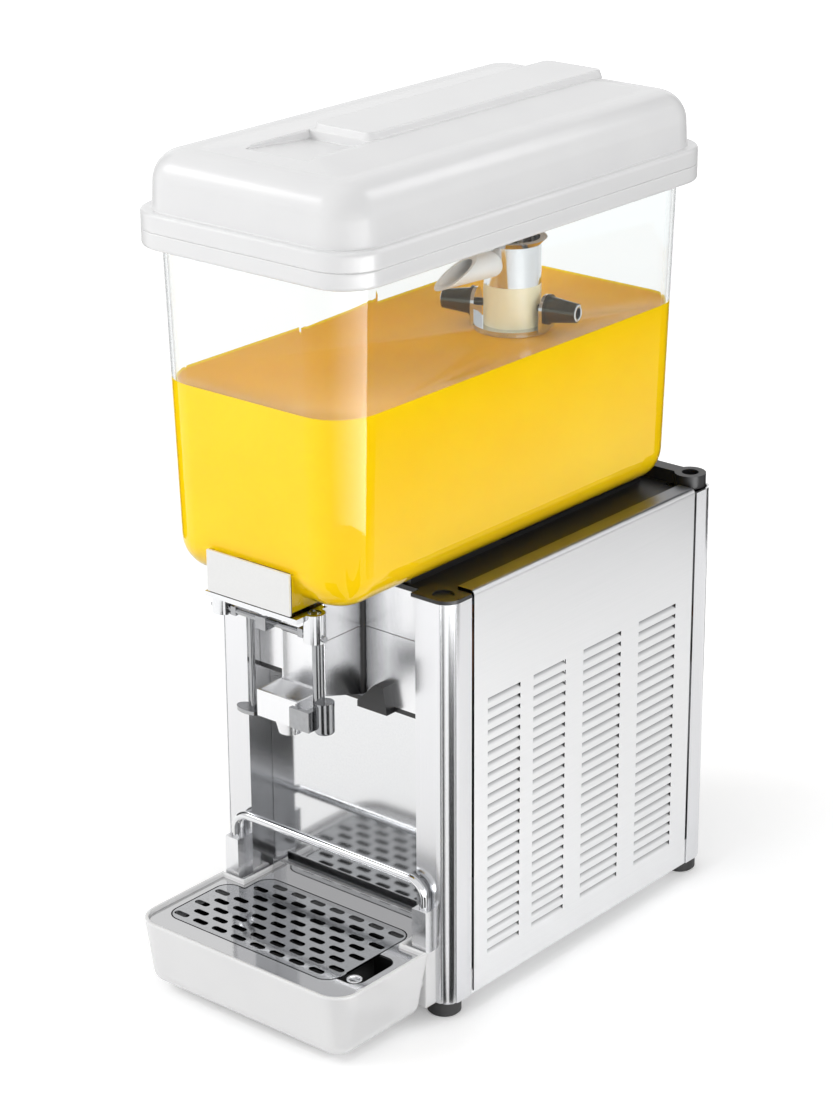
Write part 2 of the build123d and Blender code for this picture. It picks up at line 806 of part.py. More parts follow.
# Bowl: a clear tapered tub with a spout box at the front and a flange round its mouth
box_top = bowl_floor + bowl_base_radius
box_inner_front = box_front + bowl_wall
box_inner_rear = box_rear - bowl_wall
mouth_width = bowl_width + 2 * bowl_spread * (bowl_top - bowl_floor)
mouth_length = bowl_length + 2 * bowl_spread * (bowl_top - bowl_floor)
mouth_corner = bowl_corner + bowl_spread * (bowl_top - bowl_floor)
flange_width = mouth_width + 2 * bowl_flange_side
flange_length = mouth_length + 2 * bowl_flange_end
flange_corner = mouth_corner + bowl_flange_end
bowl_outer = rising_form(0.0, bowl_top)
bowl_inner = rising_form(bowl_wall, bowl_top + bowl_wall)
with BuildPart() as bowl:
    add(bowl_outer)
    with BuildSketch(Plane.XY.offset(box_bottom)):
        with Locations((0, (box_front + box_rear) / 2)):
            Rectangle(2 * box_half_width, box_depth)
    extrude(amount=box_top - box_bottom)
    with BuildSketch(Plane.XY.offset(bowl_floor - plinth_height)):
        with Locations((0, front + (pad_step + pad_rear) / 2 + seam_gap)):
            RectangleRounded(2 * pad_half_width, pad_rear - pad_step, pad_corner)
    extrude(amount=plinth_height)
    with BuildSketch(Plane.XY.offset(bowl_top - bowl_flange_height)):
        with Locations((0, bowl_y)):
            RectangleRounded(flange_width, flange_length, flange_corner)
    extrude(amount=bowl_flange_height)
    with BuildSketch(Plane.XY.offset(box_bottom - neck_length)):
        with Locations(neck):
            Circle(neck_bore / 2 + neck_wall)
    extrude(amount=neck_length)
    add(bowl_inner, mode=Mode.SUBTRACT)
    with BuildSketch(Plane.XY.offset(box_bottom + bowl_wall)):
        with Locations((0, (box_inner_front + box_inner_rear) / 2)):
            Rectangle(2 * (box_half_width - bowl_wall), box_inner_rear - box_inner_front)
    extrude(amount=box_top - box_bottom - 2 * bowl_wall, mode=Mode.SUBTRACT)
    with BuildSketch(Plane.XY.offset(box_bottom - neck_length)):
        with Locations(neck):
            Circle(neck_bore / 2)
    extrude(amount=neck_length + bowl_wall, mode=Mode.SUBTRACT)
    with BuildSketch(Plane.XY.offset(bowl_floor)):
        with Locations(evaporator_centre):
            Circle(gasket_radius + gasket_plug_gap)
    extrude(amount=bowl_wall, mode=Mode.SUBTRACT)
    with BuildSketch(Plane.XY.offset(bowl_floor)):
        with Locations(column):
            Circle(spindle_diameter / 2)
    extrude(amount=bowl_wall + impeller_disc + impeller_vane_height)
bowl.part.label = "bowl"
export_step(bowl.part, "parts/bowl.step")

# Collar: the moulded frame that the bowl's flange hangs in
with BuildPart() as bowl_collar:
    with BuildSketch(Plane.XY.offset(collar_bottom)):
        with Locations((0, bowl_y)):
            RectangleRounded(collar_width, collar_length, collar_corner)
    extrude(amount=collar_top - collar_bottom)
    fillet(bowl_collar.faces().sort_by(Axis.Z)[0].edges(), collar_round)
    with BuildSketch(Plane.XY.offset(collar_bottom)):
        with Locations((0, bowl_y)):
            RectangleRounded(
                mouth_width + 2 * collar_gap,
                mouth_length + 2 * collar_gap,
                mouth_corner + collar_gap,
            )
    extrude(amount=collar_top - collar_bottom, mode=Mode.SUBTRACT)
    with BuildSketch(Plane.XY.offset(bowl_top - bowl_flange_height)):
        with Locations((0, bowl_y)):
            RectangleRounded(
                flange_width + 2 * collar_gap,
                flange_length + 2 * collar_gap,
                flange_corner + collar_gap,
            )
    extrude(amount=bowl_flange_height, mode=Mode.SUBTRACT)
bowl_collar.part.label = "bowl_collar"
export_step(bowl_collar.part, "parts/bowl_collar.step")


def dome_form(inset):
    """The lid's dome with its roof and raised panel, or its hollow by an inset."""
    base = collar_top if inset else lid_band_top
    dome_width = collar_width - 2 * (lid_inset + inset)
    dome_length = collar_length - 2 * (lid_inset + inset)
    roof_length = dome_length - 2 * (roof_margin - inset)
    with BuildPart() as dome:
        with BuildSketch(Plane.XY.offset(base)):
            with Locations((0, bowl_y)):
                RectangleRounded(dome_width, dome_length, lid_corner - inset)
        extrude(amount=lid_shoulder - inset - base, taper=lid_draft)
        fillet(dome.faces().sort_by(Axis.Z)[-1].edges(), lid_round - inset)
        with BuildSketch(Plane.XY.offset(lid_shoulder - inset)):
            with Locations((0, bowl_y)):
                RectangleRounded(2 * roof_half_width, roof_length, roof_corner)
        with BuildSketch(Plane.XY.offset(roof_top - inset)):
            with Locations((0, bowl_y)):
                RectangleRounded(
                    2 * roof_flat_half_width,
                    roof_length - 2 * roof_end_slope,
                    roof_corner / 2,
                )
        loft()
        with BuildSketch(Plane.XY.offset(roof_top - inset - lid_wall / 2)):
            with Locations((0, front + (lid_panel_front + lid_panel_rear) / 2)):
                RectangleRounded(
                    2 * (lid_panel_half_width - inset),
                    lid_panel_rear - lid_panel_front - 2 * inset,
                    lid_panel_corner - inset,
                )
        extrude(amount=lid_panel_top - roof_top + lid_wall / 2, taper=lid_panel_draft)
    return dome.part


recess_rear = front + lid_panel_front


def recess_profile(wall):
    """The finger recess seen from the side, or with a wall below and behind it."""
    return (
        (recess_rear - recess_length, roof_top - wall),
        (recess_rear + wall, roof_top - recess_depth - wall),
        (recess_rear + wall, lid_panel_top),
        (recess_rear - recess_length, lid_panel_top),
    )


# Lid: a moulded dome on a band that sits on the collar
dome_outer = dome_form(0.0)
dome_inner = dome_form(lid_wall)
lip_width = mouth_width - 2 * (bowl_wall + lid_lip_gap)
lip_length = mouth_length - 2 * (bowl_wall + lid_lip_gap)
lip_corner = mouth_corner - bowl_wall - lid_lip_gap
with BuildPart() as lid_hollow:
    add(dome_inner)
    with BuildSketch(Plane.YZ):
        with BuildLine():
            Polyline(*recess_profile(lid_wall), close=True)
        make_face()
    extrude(amount=recess_half_width + lid_wall, both=True, mode=Mode.SUBTRACT)
with BuildPart() as lid:
    with BuildSketch(Plane.XY.offset(collar_top)):
        with Locations((0, bowl_y)):
            RectangleRounded(collar_width, collar_length, collar_corner)
    extrude(amount=lid_band_top - collar_top)
    fillet(lid.faces().sort_by(Axis.Z)[-1].edges(), lid_band_round)
    chamfer(lid.faces().sort_by(Axis.Z)[0].edges(), lid_seam)
    add(dome_outer)
    add(lid_hollow.part, mode=Mode.SUBTRACT)
    with BuildSketch(Plane.YZ):
        with BuildLine():
            Polyline(*recess_profile(0.0), close=True)
        make_face()
    extrude(amount=recess_half_width, both=True, mode=Mode.SUBTRACT)
    with BuildSketch(Plane.XY.offset(collar_top - lid_lip)):
        with Locations((0, bowl_y)):
            RectangleRounded(lip_width, lip_length, lip_corner)
            RectangleRounded(
                lip_width - 2 * lid_lip_wall,
                lip_length - 2 * lid_lip_wall,
                lip_corner - lid_lip_wall,
                mode=Mode.SUBTRACT,
            )
    extrude(amount=lid_lip + lid_band_top - collar_top)
lid.part.label = "lid"
export_step(lid.part, "parts/lid.step")

# Juice in the bowl, modelled as one body up to its level
fill_inset = bowl_wall + juice_gap
juice_form = rising_form(fill_inset, juice_level)
cage_seat = box_bottom + bowl_wall
housing_base = bowl_floor + bowl_wall
housing_top = housing_base + pump_housing_height
with BuildPart() as juice_fill:
    add(juice_form)
    with BuildSketch(Plane.XY.offset(box_bottom + fill_inset)):
        with Locations((0, (box_front + box_rear) / 2)):
            Rectangle(2 * (box_half_width - fill_inset), box_depth - 2 * fill_inset)
    extrude(amount=box_top - box_bottom - 2 * fill_inset)
    with BuildSketch(Plane.XY.offset(bowl_floor)):
        with Locations(evaporator_centre):
            Circle(gasket_bore)
    extrude(amount=evaporator_height + deck_bottom - bowl_floor + bowl_wall, mode=Mode.SUBTRACT)
    with BuildSketch(Plane.XY.offset(bowl_floor)):
        with Locations(evaporator_centre):
            Circle(gasket_radius + gasket_flange + juice_gap)
    extrude(amount=bowl_wall + gasket_thickness + juice_gap, mode=Mode.SUBTRACT)
    with BuildSketch(Plane.XY.offset(bowl_floor)):
        with Locations(column):
            Circle(pump_housing_diameter / 2 + juice_gap)
    extrude(amount=bowl_wall + pump_housing_height + juice_gap, mode=Mode.SUBTRACT)
    with BuildSketch(Plane.XY.offset(housing_top)):
        with Locations(column):
            Circle(riser_diameter / 2 + juice_gap)
    extrude(amount=juice_level - housing_top, mode=Mode.SUBTRACT)
    with BuildSketch(Plane.XY.offset(box_bottom)):
        with Locations(neck):
            Circle(cage_diameter / 2 + juice_gap)
    extrude(amount=bowl_wall + cage_height + stem_headroom, mode=Mode.SUBTRACT)
juice_fill.part.label = "juice_fill"
export_step(juice_fill.part, "parts/juice_fill.step")

# Pump housing on the bowl's floor, with intake slots, and the riser that stands on it
with BuildPart() as pump_housing:
    with BuildSketch(Plane.XY.offset(housing_base)):
        with Locations(column):
            Circle(pump_housing_diameter / 2)
    extrude(amount=pump_housing_height)
    with BuildSketch(Plane.XY.offset(housing_base)):
        with Locations(column):
            Circle(pump_housing_diameter / 2 - pump_housing_wall)
    extrude(amount=pump_housing_height - pump_housing_wall, mode=Mode.SUBTRACT)
    with BuildSketch(Plane.XY.offset(housing_top - pump_housing_wall)):
        with Locations(column):
            Circle(riser_diameter / 2 - riser_wall)
    extrude(amount=pump_housing_wall, mode=Mode.SUBTRACT)
    with BuildSketch(Plane.XY.offset(housing_base)):
        with Locations(column):
            Rectangle(pump_housing_diameter + pump_slot_width, pump_slot_width)
            Rectangle(pump_slot_width, pump_housing_diameter + pump_slot_width)
    extrude(amount=pump_slot_height, mode=Mode.SUBTRACT)
pump_housing.part.label = "pump_housing"
export_step(pump_housing.part, "parts/pump_housing.step")

column_foot = juice_level + column_lift
column_seat = column_foot + column_base_height
with BuildPart() as riser_tube:
    with BuildSketch(Plane.XY.offset(housing_top)):
        with Locations(column):
            Circle(riser_diameter / 2)
            Circle(riser_diameter / 2 - riser_wall, mode=Mode.SUBTRACT)
    extrude(amount=column_foot - housing_top)
riser_tube.part.label = "riser_tube"
export_step(riser_tube.part, "parts/riser_tube.step")

# Column base: a flange above the juice with two ears that hold the spray nozzles
ear_turns = [math.radians(heading) for heading in nozzle_headings]
ear_radials = [Vector(math.cos(turn), math.sin(turn), 0) for turn in ear_turns]
ear_drop = nozzle_height + column_base_height / 2
nozzle_axis_height = column_seat + nozzle_height
column_axis = Vector(column[0], column[1], nozzle_axis_height)
with BuildPart() as column_base:
    with BuildSketch(Plane.XY.offset(column_foot)):
        with Locations(column):
            Circle(column_base_radius)
            Circle(riser_diameter / 2 - riser_wall, mode=Mode.SUBTRACT)
    extrude(amount=column_base_height)
    for radial in ear_radials:
        ear_centre = column_axis + radial * ear_distance
        ear_plane = Plane(origin=ear_centre, x_dir=(-radial.Y, radial.X, 0), z_dir=radial)
        with BuildSketch(ear_plane):
            Circle(ear_radius)
            with Locations((0, -ear_drop / 2)):
                Rectangle(2 * ear_radius, ear_drop)
            Circle(nozzle_stem_radius + seam_gap, mode=Mode.SUBTRACT)
        extrude(amount=-ear_thickness)
column_base.part.label = "column_base"
export_step(column_base.part, "parts/column_base.step")

# Spray column: a cream plastic tube with a polished sleeve on top
column_top = column_seat + column_height
sleeve_radius = column_diameter / 2
with BuildPart() as spray_column:
    with BuildSketch(Plane.XY.offset(column_seat)):
        with Locations(column):
            Circle(column_diameter / 2)
            Circle(column_diameter / 2 - column_wall, mode=Mode.SUBTRACT)
    extrude(amount=column_height)
spray_column.part.label = "spray_column"
export_step(spray_column.part, "parts/spray_column.step")

tube_heading = math.radians(-90.0 - spout_tube_turn)
tube_direction = Vector(math.cos(tube_heading), math.sin(tube_heading), 0)
tube_axis = Vector(column[0], column[1], column_top + spout_tube_height)
tube_plane = Plane(origin=tube_axis, x_dir=(-tube_direction.Y, tube_direction.X, 0), z_dir=tube_direction)
with BuildPart() as column_sleeve:
    with BuildSketch(Plane.XY.offset(column_top)):
        with Locations(column):
            Circle(sleeve_radius)
    extrude(amount=sleeve_height)
    with BuildSketch(Plane.XY.offset(column_top + sleeve_height - sleeve_lip)):
        with Locations(column):
            Circle(sleeve_radius)
    with BuildSketch(Plane.XY.offset(column_top + sleeve_height)):
        with Locations(column):
            Circle(sleeve_radius + sleeve_lip)
    loft()
    with BuildSketch(Plane.XY.offset(column_top)):
        with Locations(column):
            Circle(sleeve_radius - column_wall / 2)
    extrude(amount=sleeve_height, mode=Mode.SUBTRACT)
    with BuildSketch(tube_plane):
        Circle(spout_tube_diameter / 2 - spout_tube_wall)
    extrude(amount=spout_tube_reach, mode=Mode.SUBTRACT)
column_sleeve.part.label = "column_sleeve"
export_step(column_sleeve.part, "parts/column_sleeve.step")

# Outlet tube of the column, cut off at a slant
with BuildPart() as outlet_tube:
    with BuildSketch(tube_plane):
        Circle(spout_tube_diameter / 2)
        Circle(spout_tube_diameter / 2 - spout_tube_wall, mode=Mode.SUBTRACT)
    extrude(amount=spout_tube_reach)
    with BuildSketch(Plane.XY.offset(column_top)):
        with Locations(column):
            Circle(sleeve_radius)
    extrude(amount=sleeve_height, mode=Mode.SUBTRACT)
    with BuildSketch(Plane(origin=tube_axis, x_dir=tube_direction, z_dir=tube_plane.x_dir)):
        with BuildLine():
            Polyline(
                (spout_tube_reach, spout_tube_diameter),
                (spout_tube_reach, spout_tube_diameter / 2),
                (spout_tube_reach - spout_tube_slant, -spout_tube_diameter / 2),
                (spout_tube_reach - spout_tube_slant, -spout_tube_diameter),
                (2 * spout_tube_reach, -spout_tube_diameter),
                (2 * spout_tube_reach, spout_tube_diameter),
                close=True,
            )
        make_face()
    extrude(amount=spout_tube_diameter, both=True, mode=Mode.SUBTRACT)
outlet_tube.part.label = "outlet_tube"
export_step(outlet_tube.part, "parts/outlet_tube.step")

# Spray nozzles: two cones in the ears, each with a flange, a stem, a fine bore and a wide mouth
with BuildPart() as spray_nozzles:
    for radial in ear_radials:
        side_dir = (-radial.Y, radial.X, 0)
        flange_plane = Plane(origin=column_axis + radial * ear_distance, x_dir=side_dir, z_dir=radial)
        cone_start = column_axis + radial * (ear_distance + nozzle_flange)
        with BuildSketch(flange_plane):
            Circle(nozzle_flange_radius)
        extrude(amount=nozzle_flange)
        with BuildSketch(Plane(origin=cone_start, x_dir=side_dir, z_dir=radial)):
            Circle(nozzle_large_radius)
        with BuildSketch(Plane(origin=cone_start + radial * nozzle_length, x_dir=side_dir, z_dir=radial)):
            Circle(nozzle_small_radius)
        loft()
        with BuildSketch(flange_plane):
            Circle(nozzle_stem_radius)
        extrude(amount=column_diameter / 2 + seam_gap - ear_distance)
        with BuildSketch(flange_plane):
            Circle(nozzle_bore)
        extrude(amount=2 * nozzle_length, mode=Mode.SUBTRACT)
        with BuildSketch(Plane(origin=cone_start + radial * nozzle_length, x_dir=side_dir, z_dir=radial)):
            Circle(nozzle_mouth_radius)
        extrude(amount=-nozzle_mouth_depth, mode=Mode.SUBTRACT)
spray_nozzles.part.label = "spray_nozzles"
export_step(spray_nozzles.part, "parts/spray_nozzles.step")

# Pump impeller on the bowl's spindle
impeller_base = housing_base + pump_housing_wall
with BuildPart() as impeller:
    with BuildSketch(Plane.XY.offset(impeller_base)):
        with Locations(column):
            Circle(impeller_diameter / 2)
    extrude(amount=impeller_disc)
    with BuildSketch(Plane.XY.offset(impeller_base + impeller_disc)):
        with Locations(column):
            Circle(impeller_hub_diameter / 2)
            with PolarLocations(impeller_diameter / 4, impeller_vanes):
                Rectangle(impeller_diameter / 2, impeller_vane_thickness)
    extrude(amount=impeller_vane_height)
    with BuildSketch(Plane.XY.offset(impeller_base)):
        with Locations(column):
            Circle(spindle_diameter / 2 + running_gap)
    extrude(amount=impeller_disc + impeller_vane_height, mode=Mode.SUBTRACT)
impeller.part.label = "impeller"
export_step(impeller.part, "parts/impeller.step")

# Tap: cover plate on the spout box, and the bracket under it with two bushings
with BuildPart() as spout_cover:
    with BuildSketch(Plane.XZ.offset(-box_front)):
        with Locations((0, (cover_bottom + box_top) / 2)):
            Rectangle(2 * cover_half_width, box_top - cover_bottom)
    extrude(amount=cover_thickness)
spout_cover.part.label = "spout_cover"
export_step(spout_cover.part, "parts/spout_cover.step")

bushing_points = [(-bushing_x, rod_y), (bushing_x, rod_y)]
bushing_base = box_bottom - bushing_height
with BuildPart() as lever_bracket:
    with BuildSketch(Plane.XY.offset(box_bottom - bracket_thickness)):
        with Locations((0, box_front + bracket_depth / 2)):
            Rectangle(2 * bushing_x, bracket_depth)
        with Locations(neck):
            Circle(neck_bore / 2 + neck_wall + seam_gap, mode=Mode.SUBTRACT)
    extrude(amount=bracket_thickness)
    with BuildSketch(Plane.XY.offset(bushing_base)):
        with Locations(*bushing_points):
            Circle(bushing_diameter / 2)
    extrude(amount=bushing_height)
    with BuildSketch(Plane.XY.offset(box_bottom - bushing_recess_depth)):
        with Locations(*bushing_points):
            Circle(bushing_recess_diameter / 2)
    extrude(amount=bushing_recess_depth, mode=Mode.SUBTRACT)
    with BuildSketch(Plane.YZ):
        with Locations((rod_y, rod_height)):
            Circle(rod_diameter / 2 + running_gap)
    extrude(amount=cabinet_width, both=True, mode=Mode.SUBTRACT)
lever_bracket.part.label = "lever_bracket"
export_step(lever_bracket.part, "parts/lever_bracket.step")

# Tap lever: a rod with a cam and two cranked arms, which end in a thumb tab and in a block with a round foot
arm_y = rod_y + arm_back
arm_top = rod_height + crank_height / 2
catch_back = nose_front - hopper_depth - catch_gap
catch_front = catch_back - catch_thickness
catch_right = arm_x + crank_width / 2
with BuildPart() as tap_lever:
    with BuildSketch(Plane.YZ):
        with Locations((rod_y, rod_height)):
            Circle(rod_diameter / 2)
    extrude(amount=rod_half_length, both=True)
    with BuildSketch(Plane.YZ):
        with Locations((rod_y, rod_height + (cam_rise - cam_drop) / 2)):
            Rectangle(cam_depth, cam_rise + cam_drop)
    extrude(amount=cam_width / 2, both=True)
    with BuildSketch(Plane.XY.offset(arm_top - crank_height)):
        with Locations((-arm_x, (rod_y + arm_y) / 2), (arm_x, (rod_y + arm_y) / 2)):
            Rectangle(crank_width, arm_back + crank_width)
    extrude(amount=crank_height)
    with BuildSketch(Plane.XY.offset(tab_base)):
        with Locations((-arm_x, arm_y)):
            Circle(thin_arm_diameter / 2)
    extrude(amount=arm_top - tab_base)
    with BuildSketch(Plane.XY.offset(tab_base)):
        with Locations((-arm_x - tab_shift, arm_y)):
            Ellipse(tab_length / 2, tab_width / 2)
    extrude(amount=tab_thickness)
    with BuildSketch(Plane.XY.offset(catch_base)):
        with Locations((arm_x, arm_y)):
            Circle(thick_arm_diameter / 2)
    extrude(amount=arm_top - catch_base)
    with BuildSketch(Plane.XY.offset(catch_base)):
        with Locations(((catch_left + catch_right) / 2, (catch_front + catch_back) / 2)):
            Rectangle(catch_right - catch_left, catch_thickness)
        with Locations((arm_x, (catch_front + arm_y) / 2)):
            Rectangle(crank_width, arm_y - catch_front)
    extrude(amount=catch_height)
    with BuildSketch(Plane.XY.offset(handle_base)):
        with Locations((arm_x + handle_shift, arm_y)):
            Circle(handle_diameter / 2)
    extrude(amount=handle_height)
    foot_edges = tap_lever.edges().filter_by_position(Axis.Z, handle_base - seam_gap, handle_base + seam_gap)
    fillet(foot_edges, handle_round)
tap_lever.part.label = "tap_lever"
export_step(tap_lever.part, "parts/tap_lever.step")

# Valve: a weighted plunger with a rubber seal, guided by a cage on the box's floor
seal_top = cage_seat + seal_thickness
foot_bottom = rod_height + cam_rise + stem_gap
cage_top = cage_seat + cage_height
with BuildPart() as valve_plunger:
    with BuildSketch(Plane.XY.offset(foot_bottom)):
        with Locations(neck):
            Circle(stem_foot_diameter / 2)
    extrude(amount=stem_foot_height)
    with BuildSketch(Plane.XY.offset(foot_bottom)):
        with Locations(neck):
            Circle(stem_diameter / 2)
    extrude(amount=cage_top - foot_bottom)
    with BuildSketch(Plane.XY.offset(seal_top)):
        with Locations(neck):
            Circle(valve_head_diameter / 2)
    extrude(amount=valve_head_height)
valve_plunger.part.label = "valve_plunger"
export_step(valve_plunger.part, "parts/valve_plunger.step")

with BuildPart() as valve_seal:
    with BuildSketch(Plane.XY.offset(cage_seat)):
        with Locations(neck):
            Circle(seal_diameter / 2)
            Circle(stem_diameter / 2, mode=Mode.SUBTRACT)
    extrude(amount=seal_thickness)
valve_seal.part.label = "valve_seal"
export_step(valve_seal.part, "parts/valve_seal.step")

with BuildPart() as valve_cage:
    with BuildSketch(Plane.XY.offset(cage_seat)):
        with Locations(neck):
            Circle(cage_diameter / 2)
    extrude(amount=cage_height)
    with BuildSketch(Plane.XY.offset(cage_seat)):
        with Locations(neck):
            Circle(cage_diameter / 2 - cage_wall)
    extrude(amount=cage_height - cage_roof, mode=Mode.SUBTRACT)
    with BuildSketch(Plane.XY.offset(cage_seat)):
        with Locations(neck):
            Circle(stem_diameter / 2 + running_gap)
    extrude(amount=cage_height, mode=Mode.SUBTRACT)
    with BuildSketch(Plane.XY.offset(cage_seat)):
        with Locations(neck):
            Rectangle(2 * cage_diameter, cage_window_width)
    extrude(amount=cage_window_height, mode=Mode.SUBTRACT)
valve_cage.part.label = "valve_cage"
export_step(valve_cage.part, "parts/valve_cage.step")


def tray_form(inset, base):
    """The drip tray's outer form, or a form inside it by an inset, above a base height."""
    spread = math.tan(math.radians(tray_draft)) * (tray_top - base)
    tray_middle = (tray_front + tray_rear) / 2
    tongue_base = max(base, tongue_bottom + inset)
    with BuildPart() as form:
        with BuildSketch(Plane.XY.offset(base)) as plan:
            with Locations((0, tray_middle)):
                Rectangle(
                    2 * (tray_half_width - spread - inset),
                    tray_rear - tray_front - 2 * (spread + inset),
                )
            fillet(plan.vertices().group_by(Axis.Y)[0], tray_corner - spread - inset)
        extrude(amount=tray_top - base, taper=-tray_draft)
        with BuildSketch(Plane.XY.offset(tongue_base)):
            with Locations((0, (tray_middle + tongue_rear - inset) / 2)):
                Rectangle(2 * (tongue_half_width - inset), tongue_rear - inset - tray_middle)
        extrude(amount=tray_top - tongue_base)
    return form.part


# Drip tray with a tongue between the posts and a boss in each rear corner for the hanger pegs
boss_y = tray_rear - boss_depth / 2
shoulder_height = ledge_height - liner_sheet
tray_outer = tray_form(0.0, tray_bottom)
tray_inner = tray_form(tray_wall + tray_step, tray_bottom + tray_wall)
tray_mouth = tray_form(tray_wall, shoulder_height)
with BuildPart() as boss_blocks:
    with BuildSketch(Plane.XY.offset(tray_bottom)):
        with Locations((-upright_x, boss_y), (upright_x, boss_y)):
            Rectangle(boss_width, boss_depth)
    extrude(amount=boss_height)
with BuildPart() as tray_hollow:
    add(tray_inner)
    fillet(tray_hollow.faces().sort_by(Axis.Z)[0].edges(), tray_base_radius - tray_wall)
    add(boss_blocks.part, mode=Mode.SUBTRACT)
    add(tray_mouth)
with BuildPart() as drip_tray:
    add(tray_outer)
    fillet(drip_tray.faces().sort_by(Axis.Z)[0].edges(), tray_base_radius)
    fillet(drip_tray.faces().sort_by(Axis.Z)[-1].edges(), tray_rim_round)
    add(tray_hollow.part, mode=Mode.SUBTRACT)
    with BuildSketch(Plane.XZ.offset(-front)):
        with Locations((-upright_x, peg_height), (upright_x, peg_height)):
            Circle(peg_diameter / 2 + peg_gap)
    extrude(amount=upright_depth + peg_length + seam_gap, mode=Mode.SUBTRACT)
drip_tray.part.label = "drip_tray"
export_step(drip_tray.part, "parts/drip_tray.step")

# Plans of the drip grid, notched round the left hanger, and of the well below it
grid_x = (grid_left + grid_right) / 2
grid_middle = front - (grid_front + grid_step) / 2
with BuildSketch() as grid_plan:
    with Locations((grid_x, grid_middle)):
        RectangleRounded(grid_right - grid_left, grid_front - grid_step, grid_corner)
    with Locations((grid_x + grid_notch / 2, (grid_middle + front - grid_rear) / 2)):
        RectangleRounded(grid_right - grid_left - grid_notch, front - grid_rear - grid_middle, grid_corner)
well_rooms = (
    (well_left, well_right, well_front, well_rear),
    (-well_tongue_half_width, well_tongue_half_width, (well_front + well_rear) / 2, well_tongue_rear),
)
with BuildSketch() as well_plan:
    for left, right, ahead, behind in well_rooms:
        with Locations(((left + right) / 2, front - (ahead + behind) / 2)):
            RectangleRounded(right - left, ahead - behind, well_corner)

# Tray liner: a polished sheet on the tray's shoulder, with a pocket for the grid, a well and a rear upstand
pocket_floor = ledge_height - grid_thickness
ledge_form = tray_form(tray_wall + liner_gap, shoulder_height)
with BuildPart() as tray_liner:
    add(ledge_form)
    with BuildSketch(Plane.XY.offset(ledge_height)):
        with Locations((0, front)):
            Rectangle(cabinet_width, 2 * tray_reach)
    extrude(amount=tray_top, mode=Mode.SUBTRACT)
    with BuildSketch(Plane.XY.offset(pocket_floor - liner_sheet)):
        add(grid_plan.sketch_local)
        offset(amount=pocket_gap + liner_sheet, mode=Mode.REPLACE)
    extrude(amount=grid_thickness + liner_sheet)
    with BuildSketch(Plane.XY.offset(well_floor)):
        add(well_plan.sketch_local)
        offset(amount=liner_sheet, mode=Mode.REPLACE)
    extrude(amount=ledge_height - well_floor)
    with BuildSketch(Plane.XY.offset(pocket_floor)):
        add(grid_plan.sketch_local)
        offset(amount=pocket_gap, mode=Mode.REPLACE)
    extrude(amount=grid_thickness, mode=Mode.SUBTRACT)
    with BuildSketch(Plane.XY.offset(well_floor + liner_sheet)):
        add(well_plan.sketch_local)
    extrude(amount=ledge_height - well_floor, mode=Mode.SUBTRACT)
    with BuildSketch(Plane.XY.offset(shoulder_height)):
        with Locations((0, tongue_rear - tray_wall - liner_gap - liner_sheet / 2)):
            Rectangle(2 * upstand_half_width, liner_sheet)
    extrude(amount=upstand_top - shoulder_height)
tray_liner.part.label = "tray_liner"
export_step(tray_liner.part, "parts/tray_liner.step")

# Drip grid with staggered slots, one fewer to a row where it is notched
with BuildPart() as drip_grid:
    with BuildSketch(Plane.XY.offset(pocket_floor)):
        add(grid_plan.sketch_local)
        for row in range(grid_rows):
            row_y = front - grid_front + grid_first_row + row * grid_row_pitch
            missing = 1 if row_y + grid_slot_width > front - grid_step else 0
            shift = grid_slot_pitch / 4 if row % 2 else -grid_slot_pitch / 4
            with Locations((grid_x + shift + missing * grid_slot_pitch / 2, row_y)):
                with GridLocations(grid_slot_pitch, 0, grid_columns - missing, 1):
                    SlotOverall(grid_slot_length, grid_slot_width, mode=Mode.SUBTRACT)
    extrude(amount=grid_thickness)
drip_grid.part.label = "drip_grid"
export_step(drip_grid.part, "parts/drip_grid.step")

# Drain pipe that stands in the well
drain = (drain_x, front - drain_ahead)
with BuildPart() as drain_pipe:
    with BuildSketch(Plane.XY.offset(well_floor + liner_sheet)):
        with Locations(drain):
            Circle(drain_diameter / 2)
            Circle(drain_bore / 2, mode=Mode.SUBTRACT)
    extrude(amount=drain_height)
drain_pipe.part.label = "drain_pipe"
export_step(drain_pipe.part, "parts/drain_pipe.step")

# Tray hangers on the front posts, with the pegs that carry the tray
upright_y = front - upright_depth / 2
upright_points = [(-upright_x, upright_y), (upright_x, upright_y)]
with BuildPart() as tray_hangers:
    with BuildSketch(Plane.XY.offset(foot_height)):
        with Locations(*upright_points):
            Rectangle(upright_width, upright_depth)
    extrude(amount=hanger_top - foot_height)
    with BuildSketch(Plane.XZ.offset(-front + upright_depth)):
        with Locations((-upright_x, peg_height), (upright_x, peg_height)):
            Circle(peg_diameter / 2)
    extrude(amount=peg_length)
tray_hangers.part.label = "tray_hangers"
export_step(tray_hangers.part, "parts/tray_hangers.step")

# Steel uprights on the hangers, and the cup rail that stands in them
with BuildPart() as rail_uprights:
    with BuildSketch(Plane.XY.offset(hanger_top)):
        with Locations(*upright_points):
            Rectangle(upright_width, upright_depth)
    extrude(amount=upright_top - hanger_top)
    with BuildSketch(Plane.XY.offset(upright_top - rail_seat)):
        with Locations(*upright_points):
            Circle(rail_diameter / 2 + seat_gap)
    extrude(amount=rail_seat, mode=Mode.SUBTRACT)
rail_uprights.part.label = "rail_uprights"
export_step(rail_uprights.part, "parts/rail_uprights.step")

